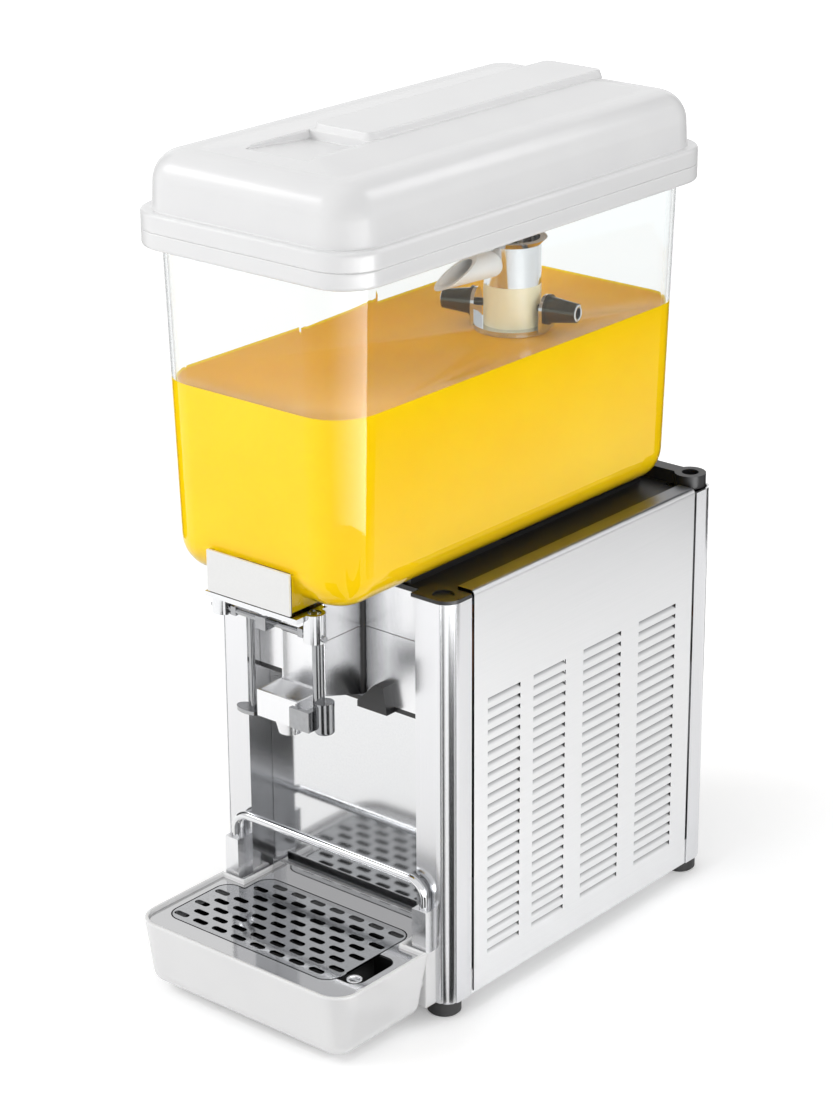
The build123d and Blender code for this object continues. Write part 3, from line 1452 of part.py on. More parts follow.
rail_foot = upright_top - rail_seat
with BuildPart() as cup_rail:
    with BuildLine():
        rail_path = FilletPolyline(
            (-upright_x, upright_y, rail_foot),
            (-upright_x, upright_y, rail_height),
            (upright_x, upright_y, rail_height),
            (upright_x, upright_y, rail_foot),
            radius=rail_bend,
        )
    with BuildSketch(Plane.XY.offset(rail_foot)):
        with Locations((-upright_x, upright_y)):
            Circle(rail_diameter / 2)
    sweep(path=rail_path)
cup_rail.part.label = "cup_rail"
export_step(cup_rail.part, "parts/cup_rail.step")

# Pump motor hung under the deck, and the magnet it turns below the bowl
motor_top = deck_bottom - pump_motor_drop
magnet_base = deck_bottom - magnet_drop
standoff_pitch = pump_flange - 2 * standoff_diameter
with BuildPart() as pump_motor:
    with BuildSketch(Plane.XY.offset(motor_top - pump_motor_height)):
        with Locations(column):
            Circle(pump_motor_diameter / 2)
    extrude(amount=pump_motor_height)
    with BuildSketch(Plane.XY.offset(motor_top - pump_flange_thickness)):
        with Locations(column):
            RectangleRounded(pump_flange, pump_flange, standoff_diameter)
    extrude(amount=pump_flange_thickness)
    with BuildSketch(Plane.XY.offset(motor_top)):
        with Locations(column):
            with GridLocations(standoff_pitch, standoff_pitch, 2, 2):
                Circle(standoff_diameter / 2)
    extrude(amount=pump_motor_drop)
    with BuildSketch(Plane.XY.offset(motor_top - drive_shaft_depth)):
        with Locations(column):
            Circle(drive_shaft_diameter / 2 + running_gap)
    extrude(amount=drive_shaft_depth, mode=Mode.SUBTRACT)
pump_motor.part.label = "pump_motor"
export_step(pump_motor.part, "parts/pump_motor.step")

with BuildPart() as drive_magnet:
    with BuildSketch(Plane.XY.offset(magnet_base)):
        with Locations(column):
            Circle(magnet_diameter / 2)
    extrude(amount=magnet_height)
    with BuildSketch(Plane.XY.offset(motor_top - drive_shaft_depth + magnet_gap)):
        with Locations(column):
            Circle(drive_shaft_diameter / 2)
    extrude(amount=magnet_base - motor_top + drive_shaft_depth - magnet_gap)
drive_magnet.part.label = "drive_magnet"
export_step(drive_magnet.part, "parts/drive_magnet.step")

# Compressor on its rubber mounts
compressor = (compressor_x, front + compressor_behind_front)
pan_floor = foot_height + pan_sheet
plate_base = pan_floor + mount_height
body_base = plate_base + compressor_plate_thickness
mount_pitch = compressor_plate - mount_diameter
with BuildPart() as compressor_mounts:
    with BuildSketch(Plane.XY.offset(pan_floor)):
        with Locations(compressor):
            with GridLocations(mount_pitch, mount_pitch, 2, 2):
                Circle(mount_diameter / 2)
    extrude(amount=mount_height)
compressor_mounts.part.label = "compressor_mounts"
export_step(compressor_mounts.part, "parts/compressor_mounts.step")

with BuildPart() as compressor_unit:
    with BuildSketch(Plane.XY.offset(body_base)):
        with Locations(compressor):
            Circle(compressor_diameter / 2)
    extrude(amount=compressor_height)
    fillet(compressor_unit.faces().sort_by(Axis.Z)[-1].edges(), compressor_round)
    with BuildSketch(Plane.XY.offset(body_base + compressor_seam_height)):
        with Locations(compressor):
            Circle(compressor_diameter / 2 + compressor_seam)
    extrude(amount=compressor_seam)
    with BuildSketch(Plane.XY.offset(plate_base)):
        with Locations(compressor):
            RectangleRounded(compressor_plate, compressor_plate, mount_diameter / 2)
    extrude(amount=compressor_plate_thickness)
compressor_unit.part.label = "compressor"
export_step(compressor_unit.part, "parts/compressor.step")

# Condenser: upright fins on tubes that run front to back
condenser_y = front + condenser_front + condenser_length / 2
condenser_z = pan_floor + condenser_height / 2
condenser_middle = condenser_x + condenser_thickness / 2
fin_pitch = (condenser_length - condenser_fin) / (condenser_fins - 1)
with BuildPart() as condenser:
    with BuildSketch(Plane.XY.offset(pan_floor)):
        with Locations((condenser_middle, condenser_y)):
            with GridLocations(0, fin_pitch, 1, condenser_fins):
                Rectangle(condenser_thickness, condenser_fin)
    extrude(amount=condenser_height)
    with BuildSketch(Plane.XZ.offset(-front - condenser_front)):
        with Locations((condenser_middle, condenser_z)):
            with GridLocations(0, condenser_height / condenser_tubes, 1, condenser_tubes):
                Circle(condenser_tube_diameter / 2)
    extrude(amount=-condenser_length)
    for cap in (pan_floor, pan_floor + condenser_height - condenser_plate):
        with BuildSketch(Plane.XY.offset(cap)):
            with Locations((condenser_middle, condenser_y)):
                Rectangle(condenser_thickness, condenser_length)
        extrude(amount=condenser_plate)
condenser.part.label = "condenser"
export_step(condenser.part, "parts/condenser.step")

# Fan shroud against the condenser, its motor and the fan
fan_centre = Vector(condenser_x - shroud_depth / 2, condenser_y, condenser_z)
shroud_back = condenser_x - shroud_depth
with BuildPart() as fan_shroud:
    with BuildSketch(Plane.YZ.offset(shroud_back)):
        with Locations((condenser_y, condenser_z)):
            Rectangle(condenser_length, condenser_height)
            Circle(fan_diameter / 2 + fan_tip_gap, mode=Mode.SUBTRACT)
    extrude(amount=shroud_depth)
    with BuildSketch(Plane.YZ.offset(shroud_back - fan_strut / 2)):
        with Locations((condenser_y, condenser_z)):
            Rectangle(condenser_length, fan_strut)
            Rectangle(fan_strut, condenser_height)
            Circle(fan_strut)
            Circle(fan_shaft_diameter, mode=Mode.SUBTRACT)
    extrude(amount=fan_strut / 2)
fan_shroud.part.label = "fan_shroud"
export_step(fan_shroud.part, "parts/fan_shroud.step")

motor_front = shroud_back - fan_strut / 2
with BuildPart() as fan_motor:
    with BuildSketch(Plane.YZ.offset(motor_front - fan_motor_length)):
        with Locations((condenser_y, condenser_z)):
            Circle(fan_motor_diameter / 2)
    extrude(amount=fan_motor_length)
    with BuildSketch(Plane.YZ.offset(motor_front - fan_motor_length / 2)):
        with Locations((condenser_y, condenser_z)):
            Circle(fan_shaft_diameter / 2 + running_gap)
    extrude(amount=fan_motor_length, mode=Mode.SUBTRACT)
fan_motor.part.label = "fan_motor"
export_step(fan_motor.part, "parts/fan_motor.step")

with BuildPart() as fan:
    with BuildSketch(Plane.YZ.offset(fan_centre.X - fan_hub_length / 2)):
        with Locations((condenser_y, condenser_z)):
            Circle(fan_hub_diameter / 2)
    extrude(amount=fan_hub_length)
    with BuildSketch(Plane.YZ.offset(motor_front - fan_motor_length / 2 + magnet_gap)):
        with Locations((condenser_y, condenser_z)):
            Circle(fan_shaft_diameter / 2)
    extrude(amount=fan_motor_length / 2 + shroud_depth / 2)
    for blade in range(fan_blades):
        turn = 2 * math.pi * blade / fan_blades
        pitch = math.radians(fan_blade_pitch)
        radial = Vector(0, math.cos(turn), math.sin(turn))
        tangent = Vector(0, -math.sin(turn), math.cos(turn))
        chord = tangent * math.cos(pitch) + Vector(math.sin(pitch), 0, 0)
        blade_root = fan_centre + radial * (fan_hub_diameter / 2 - fan_blade_thickness)
        with BuildSketch(Plane(origin=blade_root, x_dir=chord, z_dir=radial)):
            Rectangle(fan_blade_chord, fan_blade_thickness)
        extrude(amount=(fan_diameter - fan_hub_diameter) / 2)
fan.part.label = "fan"
export_step(fan.part, "parts/fan.step")

# Refrigerant pipes between compressor, condenser and evaporator
condenser_top = pan_floor + condenser_height
compressor_top = body_base + compressor_height
discharge_y = compressor[1] + stub_y
liquid_y = front + condenser_front - liquid_ahead
liquid_z = condenser_z - condenser_height / condenser_tubes
cup_end = deck_bottom + cup_rise
pipe_routes = (
    (
        (compressor[0] - stub_x, discharge_y, compressor_top),
        (compressor[0] - stub_x, discharge_y, compressor_top + discharge_rise),
        (condenser_middle, discharge_y, compressor_top + discharge_rise),
        (condenser_middle, discharge_y, condenser_top),
    ),
    (
        (condenser_middle, front + condenser_front, liquid_z),
        (condenser_middle, liquid_y, liquid_z),
        (condenser_middle, liquid_y, deck_bottom - liquid_drop),
        (evaporator_x + liquid_shift, liquid_y, deck_bottom - liquid_drop),
        (evaporator_x + liquid_shift, liquid_y, cup_end),
    ),
    (
        (evaporator_x - suction_side, evaporator_centre[1] - suction_shift, cup_end),
        (evaporator_x - suction_side, evaporator_centre[1] - suction_shift, deck_bottom - suction_drop),
        (compressor[0] + stub_x, compressor[1] - stub_y, deck_bottom - suction_drop),
        (compressor[0] + stub_x, compressor[1] - stub_y, compressor_top),
    ),
)
with BuildPart() as refrigerant_pipes:
    for route in pipe_routes:
        with BuildLine():
            pipe_path = FilletPolyline(*route, radius=pipe_bend)
        with BuildSketch(Plane(origin=pipe_path @ 0, z_dir=pipe_path % 0)):
            Circle(pipe_diameter / 2)
        sweep(path=pipe_path)
refrigerant_pipes.part.label = "refrigerant_pipes"
export_step(refrigerant_pipes.part, "parts/refrigerant_pipes.step")

# Rocker switches in the rear panel: two housings, each with a rocker on its pins
panel_inner = rear - sheet
pin_x = switch_width / 2 + switch_wall - rocker_gap / 2
with BuildPart() as switch_housings:
    with BuildSketch(Plane.XZ.offset(-panel_inner + switch_body_depth)):
        with Locations(*switch_places):
            Rectangle(switch_width + 2 * switch_wall, switch_height + 2 * switch_wall)
    extrude(amount=-switch_body_depth - sheet)
    with BuildSketch(Plane.XZ.offset(-rear)):
        with Locations(*switch_places):
            Rectangle(switch_width + 2 * switch_bezel, switch_height + 2 * switch_bezel)
    extrude(amount=-switch_bezel_thickness)
    with BuildSketch(Plane.XZ.offset(-rear - switch_bezel_thickness)):
        with Locations(*switch_places):
            Rectangle(switch_width, switch_height)
    extrude(amount=rocker_depth + switch_bezel_thickness, mode=Mode.SUBTRACT)
    for place_x, place_z in switch_places:
        with BuildSketch(Plane.YZ.offset(place_x)):
            with Locations((rear, place_z)):
                Circle(rocker_pin_diameter / 2 + running_gap)
        extrude(amount=pin_x + rocker_gap / 4, both=True, mode=Mode.SUBTRACT)
switch_housings.part.label = "switch_housings"
export_step(switch_housings.part, "parts/switch_housings.step")

for number, (place_x, place_z) in enumerate(switch_places, start=1):
    with BuildPart() as rocker:
        with BuildSketch(Plane.YZ.offset(place_x)):
            with Locations(Location((rear, place_z, 0), (0, 0, -rocker_tilt))):
                Polygon(
                    (rocker_reach, rocker_tip),
                    (rocker_reach / 2, 0),
                    (rocker_reach, -rocker_tip),
                    (-rocker_back, -rocker_back_tip),
                    (-rocker_back, rocker_back_tip),
                    align=None,
                )
        extrude(amount=switch_width / 2 - rocker_gap, both=True)
        with BuildSketch(Plane.YZ.offset(place_x)):
            with Locations((rear, place_z)):
                Circle(rocker_pin_diameter / 2)
        extrude(amount=pin_x, both=True)
    rocker.part.label = f"rocker_{number}"
    export_step(rocker.part, f"parts/rocker_{number}.step")

# Thermostat behind the rear panel and its fluted knob
with BuildPart() as thermostat:
    with BuildSketch(Plane.XZ.offset(-panel_inner)):
        with Locations((knob_x, control_height)):
            Rectangle(thermostat_size, thermostat_size)
    extrude(amount=thermostat_depth)
    with BuildSketch(Plane.XZ.offset(-panel_inner)):
        with Locations((knob_x, control_height)):
            Circle(knob_shaft_diameter / 2 + running_gap)
    extrude(amount=thermostat_depth / 2, mode=Mode.SUBTRACT)
thermostat.part.label = "thermostat"
export_step(thermostat.part, "parts/thermostat.step")

with BuildPart() as thermostat_knob:
    with BuildSketch(Plane.XZ.offset(-rear - knob_reach)):
        with Locations((knob_x, control_height)):
            Circle(knob_diameter / 2)
            with PolarLocations(knob_diameter / 2, knob_flutes):
                Circle(knob_flute_radius, mode=Mode.SUBTRACT)
    extrude(amount=knob_height)
    with BuildSketch(Plane.XZ.offset(-rear - knob_reach + knob_height)):
        with Locations((knob_x, control_height)):
            Circle(knob_shaft_diameter / 2)
    extrude(amount=knob_reach - knob_height + sheet + thermostat_depth / 2 - magnet_gap)
thermostat_knob.part.label = "thermostat_knob"
export_step(thermostat_knob.part, "parts/thermostat_knob.step")

# Cable gland low on the rear panel
with BuildPart() as cable_gland:
    with BuildSketch(Plane.XZ.offset(-rear - gland_reach)):
        with Locations((gland_x, gland_height)):
            RegularPolygon(gland_diameter / 2, 6)
    extrude(amount=gland_reach)
    with BuildSketch(Plane.XZ.offset(-rear)):
        with Locations((gland_x, gland_height)):
            Circle(gland_thread_diameter / 2 - seat_gap)
    extrude(amount=gland_thread_length)
    with BuildSketch(Plane.XZ.offset(-rear - gland_reach)):
        with Locations((gland_x, gland_height)):
            Circle(gland_bore / 2)
    extrude(amount=gland_reach + gland_thread_length, mode=Mode.SUBTRACT)
cable_gland.part.label = "cable_gland"
export_step(cable_gland.part, "parts/cable_gland.step")

# Screws of the rear panel
with BuildPart() as panel_screws:
    with BuildSketch(Plane.XZ.offset(-rear)):
        with Locations(*screw_places):
            Circle(screw_head_diameter / 2)
    extrude(amount=-screw_head_height)
    with BuildSketch(Plane.XZ.offset(-rear)):
        with Locations(*screw_places):
            Circle(screw_shank_diameter / 2)
    extrude(amount=screw_shank_length)
panel_screws.part.label = "panel_screws"
export_step(panel_screws.part, "parts/panel_screws.step")
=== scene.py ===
# %% [markdown]
# # A chilled juice dispenser, dressed for its portrait
# The solids of this machine come from a CAD model: every sheet, shell and tube already sits where it belongs.
# This lesson gives each of them the surface of the real material and sets up a small photo studio around it.
# Everything is in metres, in the CAD model's own frame: Z points up and the tap faces -Y.

# %% Load the fixed frame
import math

import bmesh
import bpy
from mathutils import Matrix, Vector


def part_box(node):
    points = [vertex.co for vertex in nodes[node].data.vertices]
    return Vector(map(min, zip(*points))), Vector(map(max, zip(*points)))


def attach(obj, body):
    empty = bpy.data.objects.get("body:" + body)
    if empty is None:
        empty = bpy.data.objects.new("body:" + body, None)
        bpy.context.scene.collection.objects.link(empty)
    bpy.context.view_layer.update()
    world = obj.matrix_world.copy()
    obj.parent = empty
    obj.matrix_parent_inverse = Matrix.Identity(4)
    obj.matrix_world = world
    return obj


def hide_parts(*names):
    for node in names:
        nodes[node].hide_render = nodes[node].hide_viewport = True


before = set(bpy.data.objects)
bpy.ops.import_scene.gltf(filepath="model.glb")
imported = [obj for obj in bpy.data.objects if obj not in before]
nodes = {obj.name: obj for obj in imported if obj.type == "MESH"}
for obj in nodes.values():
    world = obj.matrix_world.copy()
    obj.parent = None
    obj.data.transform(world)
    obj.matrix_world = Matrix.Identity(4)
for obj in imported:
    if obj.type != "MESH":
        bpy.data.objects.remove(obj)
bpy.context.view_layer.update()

# %% [markdown]
# ## Small helpers for every finish
# Colours are easiest to read from a picture as sRGB hex values, but shaders calculate with linear light.
# One function does that step. A second one adds a shader node: its settings are keywords, and its inputs are
# a dictionary in which a value is typed in and a socket is linked. Inputs go by name or by number: a Mix node
# takes its share at 0 and two colours at 6 and 7, and a Map Range takes its value at 0, the limits it reads
# at 1 and 2 and the limits it gives at 3 and 4. With these, a material reads like a recipe.


# %% Colour and node helpers
def linear(hex_code):
    """An sRGB hex colour as linear RGBA."""
    channels = [int(hex_code[i : i + 2], 16) / 255 for i in (1, 3, 5)]
    return [c / 12.92 if c <= 0.04045 else ((c + 0.055) / 1.055) ** 2.4 for c in channels] + [1.0]


def add_node(tree, kind, inputs=None, **settings):
    """A new node of a kind, with its settings, typed inputs and links."""
    node = tree.nodes.new("ShaderNode" + kind)
    for name, value in settings.items():
        setattr(node, name, value)
    for key, value in (inputs or {}).items():
        if isinstance(value, bpy.types.NodeSocket):
            tree.links.new(value, node.inputs[key])
        else:
            node.inputs[key].default_value = value
    return node


def new_finish(name):
    """An empty material, its node tree and the socket of the object's own coordinates, in metres."""
    finish = bpy.data.materials.new(name)
    finish.use_nodes = True
    tree = finish.node_tree
    tree.nodes.clear()
    return finish, tree, add_node(tree, "TexCoord").outputs["Object"]


def wear(names, finish):
    """Puts a finish on CAD nodes, by name."""
    for name in names:
        nodes[name].data.materials.clear()
        nodes[name].data.materials.append(finish)
    print(finish.name, "on", ", ".join(names))


MM = 0.001  # one millimetre in the scene's metres

# %% [markdown]
# ## Moulded ABS
# The lid, the collar round the bowl, the drip tray and its hangers are injection-moulded ABS in a cool
# off-white. The mould was polished, so the skin is satin: it shows soft highlights, and the long sides carry
# a very slight waviness where the plastic shrank. A bump over a few centimetres gives that, and a finer one
# the skin's grain. No moulded edge is sharp: a bevel in the shading rounds them all. Where it turns away from
# the plain surface the colour is mixed towards white, a painted highlight that shows the rims as a bright
# line.

# %% Moulded ABS
SHRINK_WAVE = 45 * MM
SKIN_GRAIN = 1.2 * MM  # the real grain is finer; this is the finest that shows
RIM_ROUND = 2.4 * MM
HIGHLIGHT_TURN = 0.9  # cosine of the turn at which an edge is fully white
abs_shell, tree, place = new_finish("moulded_abs")
rounded = add_node(tree, "Bevel", {"Radius": RIM_ROUND}, samples=6)
wave = add_node(tree, "TexNoise", {"Vector": place, "Scale": 1 / SHRINK_WAVE, "Detail": 1.0})
grain = add_node(tree, "TexNoise", {"Vector": place, "Scale": 1 / SKIN_GRAIN, "Detail": 2.0})
wave_bump = add_node(
    tree, "Bump",
    {"Height": wave.outputs[0], "Normal": rounded.outputs[0], "Strength": 0.25, "Distance": 0.5 * MM},
)
skin_bump = add_node(
    tree, "Bump",
    {"Height": grain.outputs[0], "Normal": wave_bump.outputs[0], "Strength": 0.012, "Distance": 0.1 * MM},
)
tint = add_node(
    tree, "Mix", {0: wave.outputs[0], 6: linear("#EAEAEB"), 7: linear("#F0F0F0")}, data_type="RGBA",
)
plain = add_node(tree, "NewGeometry")
bend = add_node(
    tree, "VectorMath", {0: rounded.outputs[0], 1: plain.outputs["Normal"]}, operation="DOT_PRODUCT",
)
# painted highlight: edges where the bevel turns away go towards white
edge = add_node(tree, "MapRange", {0: bend.outputs["Value"], 1: 1.0, 2: HIGHLIGHT_TURN})
tint = add_node(
    tree, "Mix", {0: edge.outputs[0], 6: tint.outputs[2], 7: linear("#FFFFFF")}, data_type="RGBA",
)
gloss = add_node(tree, "MapRange", {0: grain.outputs[0], 3: 0.24, 4: 0.28})
skin = add_node(
    tree, "BsdfPrincipled",
    {
        "Base Color": tint.outputs[2], "Roughness": gloss.outputs[0], "Normal": skin_bump.outputs[0],
        "IOR": 1.54,
    },
)
add_node(tree, "OutputMaterial", {"Surface": skin.outputs[0]})
wear(["lid", "bowl_collar", "drip_tray", "tray_hangers"], abs_shell)

# %% [markdown]
# ## White acetal
# The plate on the spout box and the slanted outlet tube touch the juice. They are food-grade acetal: whiter
# than the shell, slightly waxy, and a little light goes into the surface before it comes back.

# %% White acetal
TOOL_MARK = 2.5 * MM
acetal, tree, place = new_finish("white_acetal")
marks = add_node(tree, "TexNoise", {"Vector": place, "Scale": 1 / TOOL_MARK, "Detail": 3.0})
bump = add_node(tree, "Bump", {"Height": marks.outputs[0], "Strength": 0.08, "Distance": 0.1 * MM})
tint = add_node(
    tree, "Mix", {0: marks.outputs[0], 6: linear("#EDEDEC"), 7: linear("#F3F3F2")}, data_type="RGBA",
)
skin = add_node(
    tree, "BsdfPrincipled",
    {
        "Base Color": tint.outputs[2], "Roughness": 0.32, "IOR": 1.48, "Normal": bump.outputs[0],
        "Subsurface Weight": 0.15, "Subsurface Radius": (1.0, 1.0, 1.0), "Subsurface Scale": 1.0 * MM,
    },
)
add_node(tree, "OutputMaterial", {"Surface": skin.outputs[0]})
wear(["spout_cover", "outlet_tube"], acetal)

# %% [markdown]
# ## Cream polypropylene
# The spray column and the hidden pump parts are natural polypropylene, warm and faintly cloudy. Flow lines
# from the mould run up the tube, so the noise that tints it is stretched along Z.

# %% Cream polypropylene
FLOW_WIDTH = 6 * MM
FLOW_LENGTH = 60 * MM
cream, tree, place = new_finish("cream_polypropylene")
flow = add_node(
    tree, "Mapping", {"Vector": place, "Scale": (1 / FLOW_WIDTH, 1 / FLOW_WIDTH, 1 / FLOW_LENGTH)},
)
streak = add_node(tree, "TexNoise", {"Vector": flow.outputs[0], "Scale": 1.0, "Detail": 2.0})
tint = add_node(
    tree, "Mix", {0: streak.outputs[0], 6: linear("#ECE3BC"), 7: linear("#F4ECCF")}, data_type="RGBA",
)
bump = add_node(tree, "Bump", {"Height": streak.outputs[0], "Strength": 0.1, "Distance": 0.1 * MM})
skin = add_node(
    tree, "BsdfPrincipled",
    {
        "Base Color": tint.outputs[2], "Roughness": 0.30, "IOR": 1.49, "Normal": bump.outputs[0],
        "Subsurface Weight": 0.3, "Subsurface Radius": (1.0, 0.9, 0.6), "Subsurface Scale": 2.0 * MM,
    },
)
add_node(tree, "OutputMaterial", {"Surface": skin.outputs[0]})
wear(["spray_column", "pump_housing", "riser_tube", "impeller", "valve_cage"], cream)

# %% [markdown]
# ## Clear acrylic
# The bowl is made of clear acrylic, 3 mm thick. What shows is not its colour but its edges, where light runs
# along the sheet, and broad soft reflections. Seen edge-on the sheet turns grey, which the layer weight
# gives:
# partly the long way through the sheet, partly painted shade that draws dark edges. Years of wiping leave a
# haze of faint, roughly level strokes, which a stretched noise on the roughness gives. A path tracer finds
# the light behind a bent clear wall only by luck, so rays on their way to a lamp see a plain transparent
# sheet instead, and the bowl is lit without noise.

# %% Clear acrylic
WIPE_LENGTH = 80 * MM
WIPE_WIDTH = 5 * MM
acrylic, tree, place = new_finish("clear_acrylic")
wipe = add_node(
    tree, "Mapping", {"Vector": place, "Scale": (1 / WIPE_LENGTH, 1 / WIPE_LENGTH, 1 / WIPE_WIDTH)},
)
haze = add_node(tree, "TexNoise", {"Vector": wipe.outputs[0], "Scale": 1.0, "Detail": 2.0})
gloss = add_node(tree, "MapRange", {0: haze.outputs[0], 3: 0.0, 4: 0.03})
slant = add_node(tree, "LayerWeight", {"Blend": 0.5})
# partly painted shade: the sheet turns grey where it is seen edge-on
edge_on_shade = add_node(tree, "MapRange", {0: slant.outputs["Facing"], 1: 0.65, 2: 1.0})
tint = add_node(
    tree, "Mix", {0: edge_on_shade.outputs[0], 6: linear("#F6F8F8"), 7: linear("#4E5454")}, data_type="RGBA",
)
skin = add_node(
    tree, "BsdfPrincipled",
    {
        "Base Color": tint.outputs[2], "Roughness": gloss.outputs[0], "IOR": 1.49,
        "Transmission Weight": 1.0, "Specular Tint": linear("#B4B4B4"),
    },
)
ray = add_node(tree, "LightPath")
open_sheet = add_node(tree, "BsdfTransparent", {"Color": linear("#FFFFFF")})
wall = add_node(
    tree, "MixShader", {0: ray.outputs["Is Shadow Ray"], 1: skin.outputs[0], 2: open_sheet.outputs[0]},
)
add_node(tree, "OutputMaterial", {"Surface": wall.outputs[0]})
wear(["bowl"], acrylic)

# %% [markdown]
# ## Orange juice
# Juice is a cloudy drink: light scatters on fine pulp a few millimetres below the surface, so its sides glow
# a clean yellow. Where juice touches acrylic there is almost no step in refractive index, so the sides have
# no shine of their own. The free surface has one, and lies in the shade of the lid: its deeper amber colour
# is painted shade. So juice gets two finishes from one loop: the pulp clouds and flecks are the same, the
# colours and the shine differ.

# %% Orange juice
PULP_CLOUD = 60 * MM
PULP_FLECK = 2 * MM
# the surface's amber colours are painted shade from the lid
JUICES = (  # name, two colours, shine
    ("orange_juice", "#FACF0A", "#FCD916", 0.0),
    ("orange_juice_shaded_surface", "#F0A608", "#F8B814", 0.05),
)
juices = []
for name, dark, bright, shine in JUICES:
    juice, tree, place = new_finish(name)
    cloud = add_node(tree, "TexNoise", {"Vector": place, "Scale": 1 / PULP_CLOUD, "Detail": 2.0})
    fleck = add_node(tree, "TexNoise", {"Vector": place, "Scale": 1 / PULP_FLECK, "Detail": 1.0})
    tint = add_node(tree, "Mix", {0: cloud.outputs[0], 6: linear(dark), 7: linear(bright)}, data_type="RGBA")
    bump = add_node(tree, "Bump", {"Height": fleck.outputs[0], "Strength": 0.03, "Distance": 0.2 * MM})
    skin = add_node(
        tree, "BsdfPrincipled",
        {
            "Base Color": tint.outputs[2], "Roughness": 0.16, "IOR": 1.35, "Normal": bump.outputs[0],
            "Specular IOR Level": shine, "Subsurface Weight": 0.2, "Subsurface Radius": (1.0, 0.6, 0.1),
            "Subsurface Scale": 3.0 * MM,
        },
    )
    add_node(tree, "OutputMaterial", {"Surface": skin.outputs[0]})
    juices.append(juice)
print(len(juices), "juice finishes")

# %% [markdown]
# ## The juice wets the bowl
# The CAD solid of the juice keeps a hair's breadth from the bowl, as separate solids should. Real juice wets
# the wall: with no air between them the wall looks yellow right through, and the surface climbs the wall in a
# narrow rim, the meniscus. This piece starts from the CAD solid, swells its sides into the wall, insets the
# free surface and lifts its edge. The rim keeps the brighter finish of the sides, and draws a fine line round
# the surface.

# %% Wetted juice
WETTING = 0.45 * MM  # the gap to the wall, and a little of the wall
RIM_WIDTH = 2.2 * MM
RIM_RISE = 1.1 * MM
WELD = 0.01 * MM
LEVEL_FACE = 0.99  # least upward share of a level face's normal
SHARP_EDGE = math.radians(40)
shape = bmesh.new()
shape.from_mesh(nodes["juice_fill"].data)
bmesh.ops.remove_doubles(shape, verts=shape.verts, dist=WELD)
shape.normal_update()
juice_level = max(corner.co.z for corner in shape.verts)
level_faces = [face for face in shape.faces if face.normal.z > LEVEL_FACE]
free_faces = [face for face in level_faces if face.calc_center_median().z > juice_level - MM]
on_top = set(free_faces)
swell = {}
for corner in shape.verts:
    walls = [face.normal for face in corner.link_faces if face not in on_top]
    if walls:
        swell[corner] = sum(walls, Vector()).normalized() * WETTING
for corner, step in swell.items():
    corner.co += step
for corner in {corner for face in free_faces for corner in face.verts}:
    corner.co.z = juice_level
bmesh.ops.inset_region(
    shape, faces=free_faces, thickness=RIM_WIDTH, use_even_offset=False, use_boundary=True,
)
still = {corner for face in free_faces for corner in face.verts}
for corner in shape.verts:
    if corner not in still and corner.co.z > juice_level - WELD:
        corner.co.z += RIM_RISE
for face in shape.faces:
    face.smooth = True
    face.material_index = int(face in on_top)
juice_mesh = bpy.data.meshes.new("wetted_juice")
shape.to_mesh(juice_mesh)
shape.free()
juice_mesh.set_sharp_from_angle(angle=SHARP_EDGE)
for juice in juices:
    juice_mesh.materials.append(juice)
wetted = bpy.data.objects.new("wetted_juice", juice_mesh)
bpy.context.scene.collection.objects.link(wetted)
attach(wetted, "bowl_assembly")
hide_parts("juice_fill")
print(f"juice to {juice_level / MM:.1f} mm, rim {RIM_RISE / MM:.1f} mm, {len(juice_mesh.polygons)} faces")
